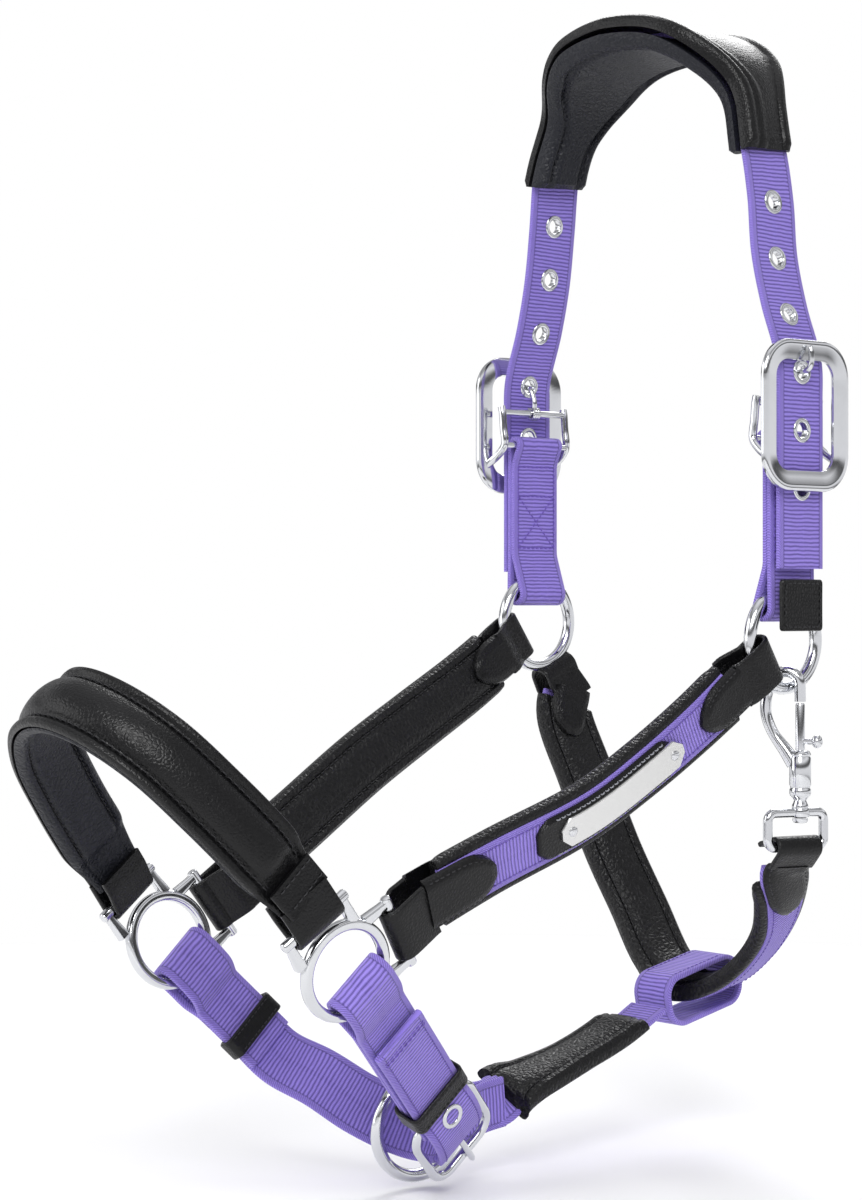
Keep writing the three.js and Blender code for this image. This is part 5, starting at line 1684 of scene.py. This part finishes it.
def throat_strap():
    sewn_webbing("throat_strap_webbing", THROAT, 0.01, 0.94, "throat_webbing")
    padded_strap("throat_pad", THROAT, 0.045, 0.89, "throat_padding")


throat_strap()
strap_leather("throat_far_leather", "throat_ring_leather", THROAT, THROAT_RING, THROAT_PULL, 0, 0.1, 17.5,
              RING_WIRE + 1.2, 2.6, face=vec(0, 1, 0), inner_tip=0.12)
strap_leather("throat_near_leather", "throat_eye_leather", THROAT, EYE_BAR, EYE_LEAVE, 1, 0.8, 19.6,
              EYE_WIRE + 0.6, 0, high=FOLD_OUT + 0.2)


# ---- snap hook ------------------------------------------------------------------------------------
HOOK_POINTS = [(3.4, -29), (0, -24), (-5, -17), (-7.6, -9.5), (-7, -2), (-4, 4.4), (0.6, 6.4), (5, 4),
               (5.8, -2.4), (5.8, -5.2)]
HOOK_WIRE = 2.2
BARREL_RADIUS = 4.2
BARREL_TOP = -24.6
BARREL_LOW = -41.6
COLLAR_RADIUS = 3.2
KNOB_Z = -20.5


def snap_at(a, z):
    """A point of the snap's middle plane: a towards its open side, z up from the hooked ring."""
    return SNAP_HOOKED + SNAP_SIDE * a + vec(0, 0, z)


def turned(solid, profile, sides=32):
    """A round piece on the snap's axis from (radius, height) pairs."""
    tube(solid, [snap_at(SNAP_BODY_A, z) for _, z in profile], [r for r, _ in profile], sides)


def snap_hook():
    solid = Solid()
    curve = smooth_path([snap_at(a, z) for a, z in HOOK_POINTS], 0.8)
    count = len(curve)
    radii = [HOOK_WIRE + 0.9 * max(0.0, 1 - i / (count * 0.22)) for i in range(count)]
    tube(solid, curve, radii, 18)
    turned(solid, [(1.9, BARREL_LOW - 6.2), (2.6, BARREL_LOW - 5.9), (COLLAR_RADIUS, BARREL_LOW - 5.0),
                   (COLLAR_RADIUS, BARREL_LOW - 3.4), (2.7, BARREL_LOW - 2.6), (2.4, BARREL_LOW - 1.6),
                   (3.0, BARREL_LOW - 0.6), (3.9, BARREL_LOW + 0.2), (BARREL_RADIUS, BARREL_LOW + 1.2),
                   (BARREL_RADIUS, BARREL_LOW + 2.6), (BARREL_RADIUS - 0.35, BARREL_LOW + 3.1),
                   (BARREL_RADIUS - 0.35, BARREL_LOW + 3.8), (BARREL_RADIUS, BARREL_LOW + 4.3),
                   (BARREL_RADIUS, BARREL_TOP - 2.2), (BARREL_RADIUS - 0.3, BARREL_TOP - 1.8),
                   (BARREL_RADIUS - 0.3, BARREL_TOP - 1.3), (BARREL_RADIUS, BARREL_TOP - 0.9),
                   (BARREL_RADIUS - 0.5, BARREL_TOP + 0.2), (3.0, BARREL_TOP + 0.6), (2.5, BARREL_TOP + 0.7)])
    piece("snap_metal", solid, [CHROME], "snap_hook", ["snap_body"])


def snap_bolt():
    solid = Solid()
    turned(solid, [(1.85, BARREL_TOP - 5), (1.85, -6.6), (1.5, -5.8)], 20)
    tube(solid, [snap_at(SNAP_BODY_A, KNOB_Z), snap_at(SNAP_BODY_A + 6, KNOB_Z)], 1.2, 14)
    knob = smooth_path([snap_at(SNAP_BODY_A + x, KNOB_Z) for x in (4.6, 5.4, 6.6, 7.8, 8.6)], 0.3)
    middle = (len(knob) - 1) / 2
    radii = [2.6 * math.sqrt(max(0.12, 1 - ((i - middle) / (middle + 0.4)) ** 2)) for i in range(len(knob))]
    tube(solid, knob, radii, 20)
    piece("snap_slide", solid, [CHROME], "snap_bolt", ["snap_bolt"])


def on_snap_axis(z):
    return vec(SNAP_AXIS[0], SNAP_AXIS[1], z)


def snap_eye():
    solid = Solid()
    mid_z = (EYE_TOP + EYE_LOW) / 2
    centre = on_snap_axis(mid_z) + EYE_ALONG * EYE_SHIFT
    outline = dense(rounded_rectangle(EYE_WIDTH, EYE_TOP - EYE_LOW, 3.2, 8), 1.2)
    tube(solid, [centre + EYE_ALONG * x + vec(0, 0, z) for x, z in outline], EYE_WIRE + 0.1, 16, closed=True)
    boss = [(2.2, EYE_TOP - 2.1), (3.3, EYE_TOP - 1.7), (3.6, EYE_TOP - 1.0), (3.6, EYE_TOP + 1.0),
            (3.3, EYE_TOP + 1.6), (2.2, EYE_TOP + 2.0)]
    tube(solid, [on_snap_axis(z) for _, z in boss], [r for r, _ in boss], 24)
    piece("snap_eye_metal", solid, [CHROME], "snap_eye", ["snap_eye"])


def snap_rivet():
    head = Solid()
    rivet = [(1.4, EYE_TOP - 4.2), (2.6, EYE_TOP - 3.9), (3.0, EYE_TOP - 3.1), (3.0, EYE_TOP - 2.3)]
    tube(head, [on_snap_axis(z) for _, z in rivet], [r for r, _ in rivet], 24)
    piece("snap_rivet_head", head, [CHROME], "snap_hook", [])


snap_hook()
snap_bolt()
snap_eye()
snap_rivet()


SPRING_LOW = -39.4
SPRING_TOP = -31.2
SPRING_TURNS = 8
SPRING_RADIUS = 1.5
SPRING_WIRE = 0.28


def snap_spring():
    """The coil under the bolt, drawn at one fixed length."""
    solid = Solid()
    square = np.cross(vec(0, 0, 1), SNAP_SIDE)
    coil = []
    for f in np.linspace(0, 1, SPRING_TURNS * 14 + 1):
        a = 2 * math.pi * SPRING_TURNS * f
        middle = snap_at(SNAP_BODY_A, SPRING_LOW + (SPRING_TOP - SPRING_LOW) * f)
        coil.append(middle + SPRING_RADIUS * (SNAP_SIDE * math.cos(a) + square * math.sin(a)))
    tube(solid, coil, SPRING_WIRE, 8)
    obj = piece("snap_coil", solid, [CHROME], "snap_hook", ["snap_spring"])
    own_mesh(obj)


snap_spring()


# ---- stage ----------------------------------------------------------------------------------------
FLOOR_DROP = 0.002
FLOOR_RADIUS = 0.75


def studio_world(tree):
    """A white backdrop for the camera, and for the metal a bright room with dark bands round its walls."""
    nodes, link = tree.nodes, tree.links.new
    place = nodes.new("ShaderNodeTexCoord")
    split = nodes.new("ShaderNodeSeparateXYZ")
    link(place.outputs["Generated"], split.inputs[0])
    bands = nodes.new("ShaderNodeValToRGB")
    height = nodes.new("ShaderNodeMath")
    height.operation = "MULTIPLY_ADD"
    height.inputs[1].default_value = 0.5
    height.inputs[2].default_value = 0.5
    link(split.outputs["Z"], height.inputs[0])
    link(height.outputs[0], bands.inputs[0])
    ramp = bands.color_ramp
    for place_at, _ in WORLD_BANDS[2:]:
        ramp.elements.new(place_at)
    for element, (place_at, grey) in zip(ramp.elements, sorted(WORLD_BANDS)):
        element.position = place_at
        element.color = (grey, grey, grey * 1.02, 1)
    room, backdrop = nodes["Background"], nodes.new("ShaderNodeBackground")
    link(bands.outputs["Color"], room.inputs["Color"])
    room.inputs["Strength"].default_value = WORLD_LIGHT
    backdrop.inputs["Color"].default_value = (1, 1, 1, 1)
    rays = nodes.new("ShaderNodeLightPath")
    mix = nodes.new("ShaderNodeMixShader")
    link(rays.outputs["Is Camera Ray"], mix.inputs[0])
    link(room.outputs[0], mix.inputs[1])
    link(backdrop.outputs[0], mix.inputs[2])
    link(mix.outputs[0], nodes["World Output"].inputs["Surface"])


def stage():
    low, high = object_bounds()
    floor_z = low[2] - FLOOR_DROP
    middle = [(a + b) / 2 for a, b in zip(low, high)]
    bpy.ops.mesh.primitive_circle_add(vertices=96, radius=FLOOR_RADIUS, fill_type="NGON",
                                      location=(middle[0], middle[1], floor_z))
    floor = bpy.context.object
    floor.name = "stage_floor"
    material = bpy.data.materials.new("stage_floor")
    material.use_nodes = True
    surface = material.node_tree.nodes["Principled BSDF"]
    surface.inputs["Base Color"].default_value = (0.95, 0.95, 0.95, 1)
    surface.inputs["Roughness"].default_value = 0.6
    floor.data.materials.append(material)
    floor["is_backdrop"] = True
    world = bpy.data.worlds.new("studio")
    bpy.context.scene.world = world
    world.use_nodes = True
    studio_world(world.node_tree)
    hang_lights(middle)


def hang_lights(middle):
    for name, offset, size, power in LIGHTS:
        data = bpy.data.lights.new(name, "AREA")
        data.shape = "RECTANGLE"
        data.size, data.size_y = size
        data.energy = power
        light = bpy.data.objects.new(name, data)
        bpy.context.collection.objects.link(light)
        light.location = [m + o for m, o in zip(middle, offset)]
        light.rotation_euler = (Vector(middle) - Vector(light.location)).to_track_quat("-Z", "Y").to_euler()
        light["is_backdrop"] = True


WORLD_LIGHT = 1.0
WORLD_BANDS = [(0.0, 0.35), (1.0, 1.0), (0.3, 0.6), (0.36, 0.05), (0.43, 0.85), (0.54, 0.95), (0.58, 0.06),
               (0.63, 0.15), (0.7, 1.0), (0.84, 0.25)]
LIGHTS = [
    ("key_light", (-1.2, -1.3, 1.3), (1.0, 1.0), 26),
    ("fill_light", (-1.6, 0.9, 0.6), (1.4, 1.4), 10),
    ("rim_light", (1.4, 1.0, 1.4), (1.0, 1.0), 18),
]
bpy.context.scene.view_settings.view_transform = "Standard"
stage()
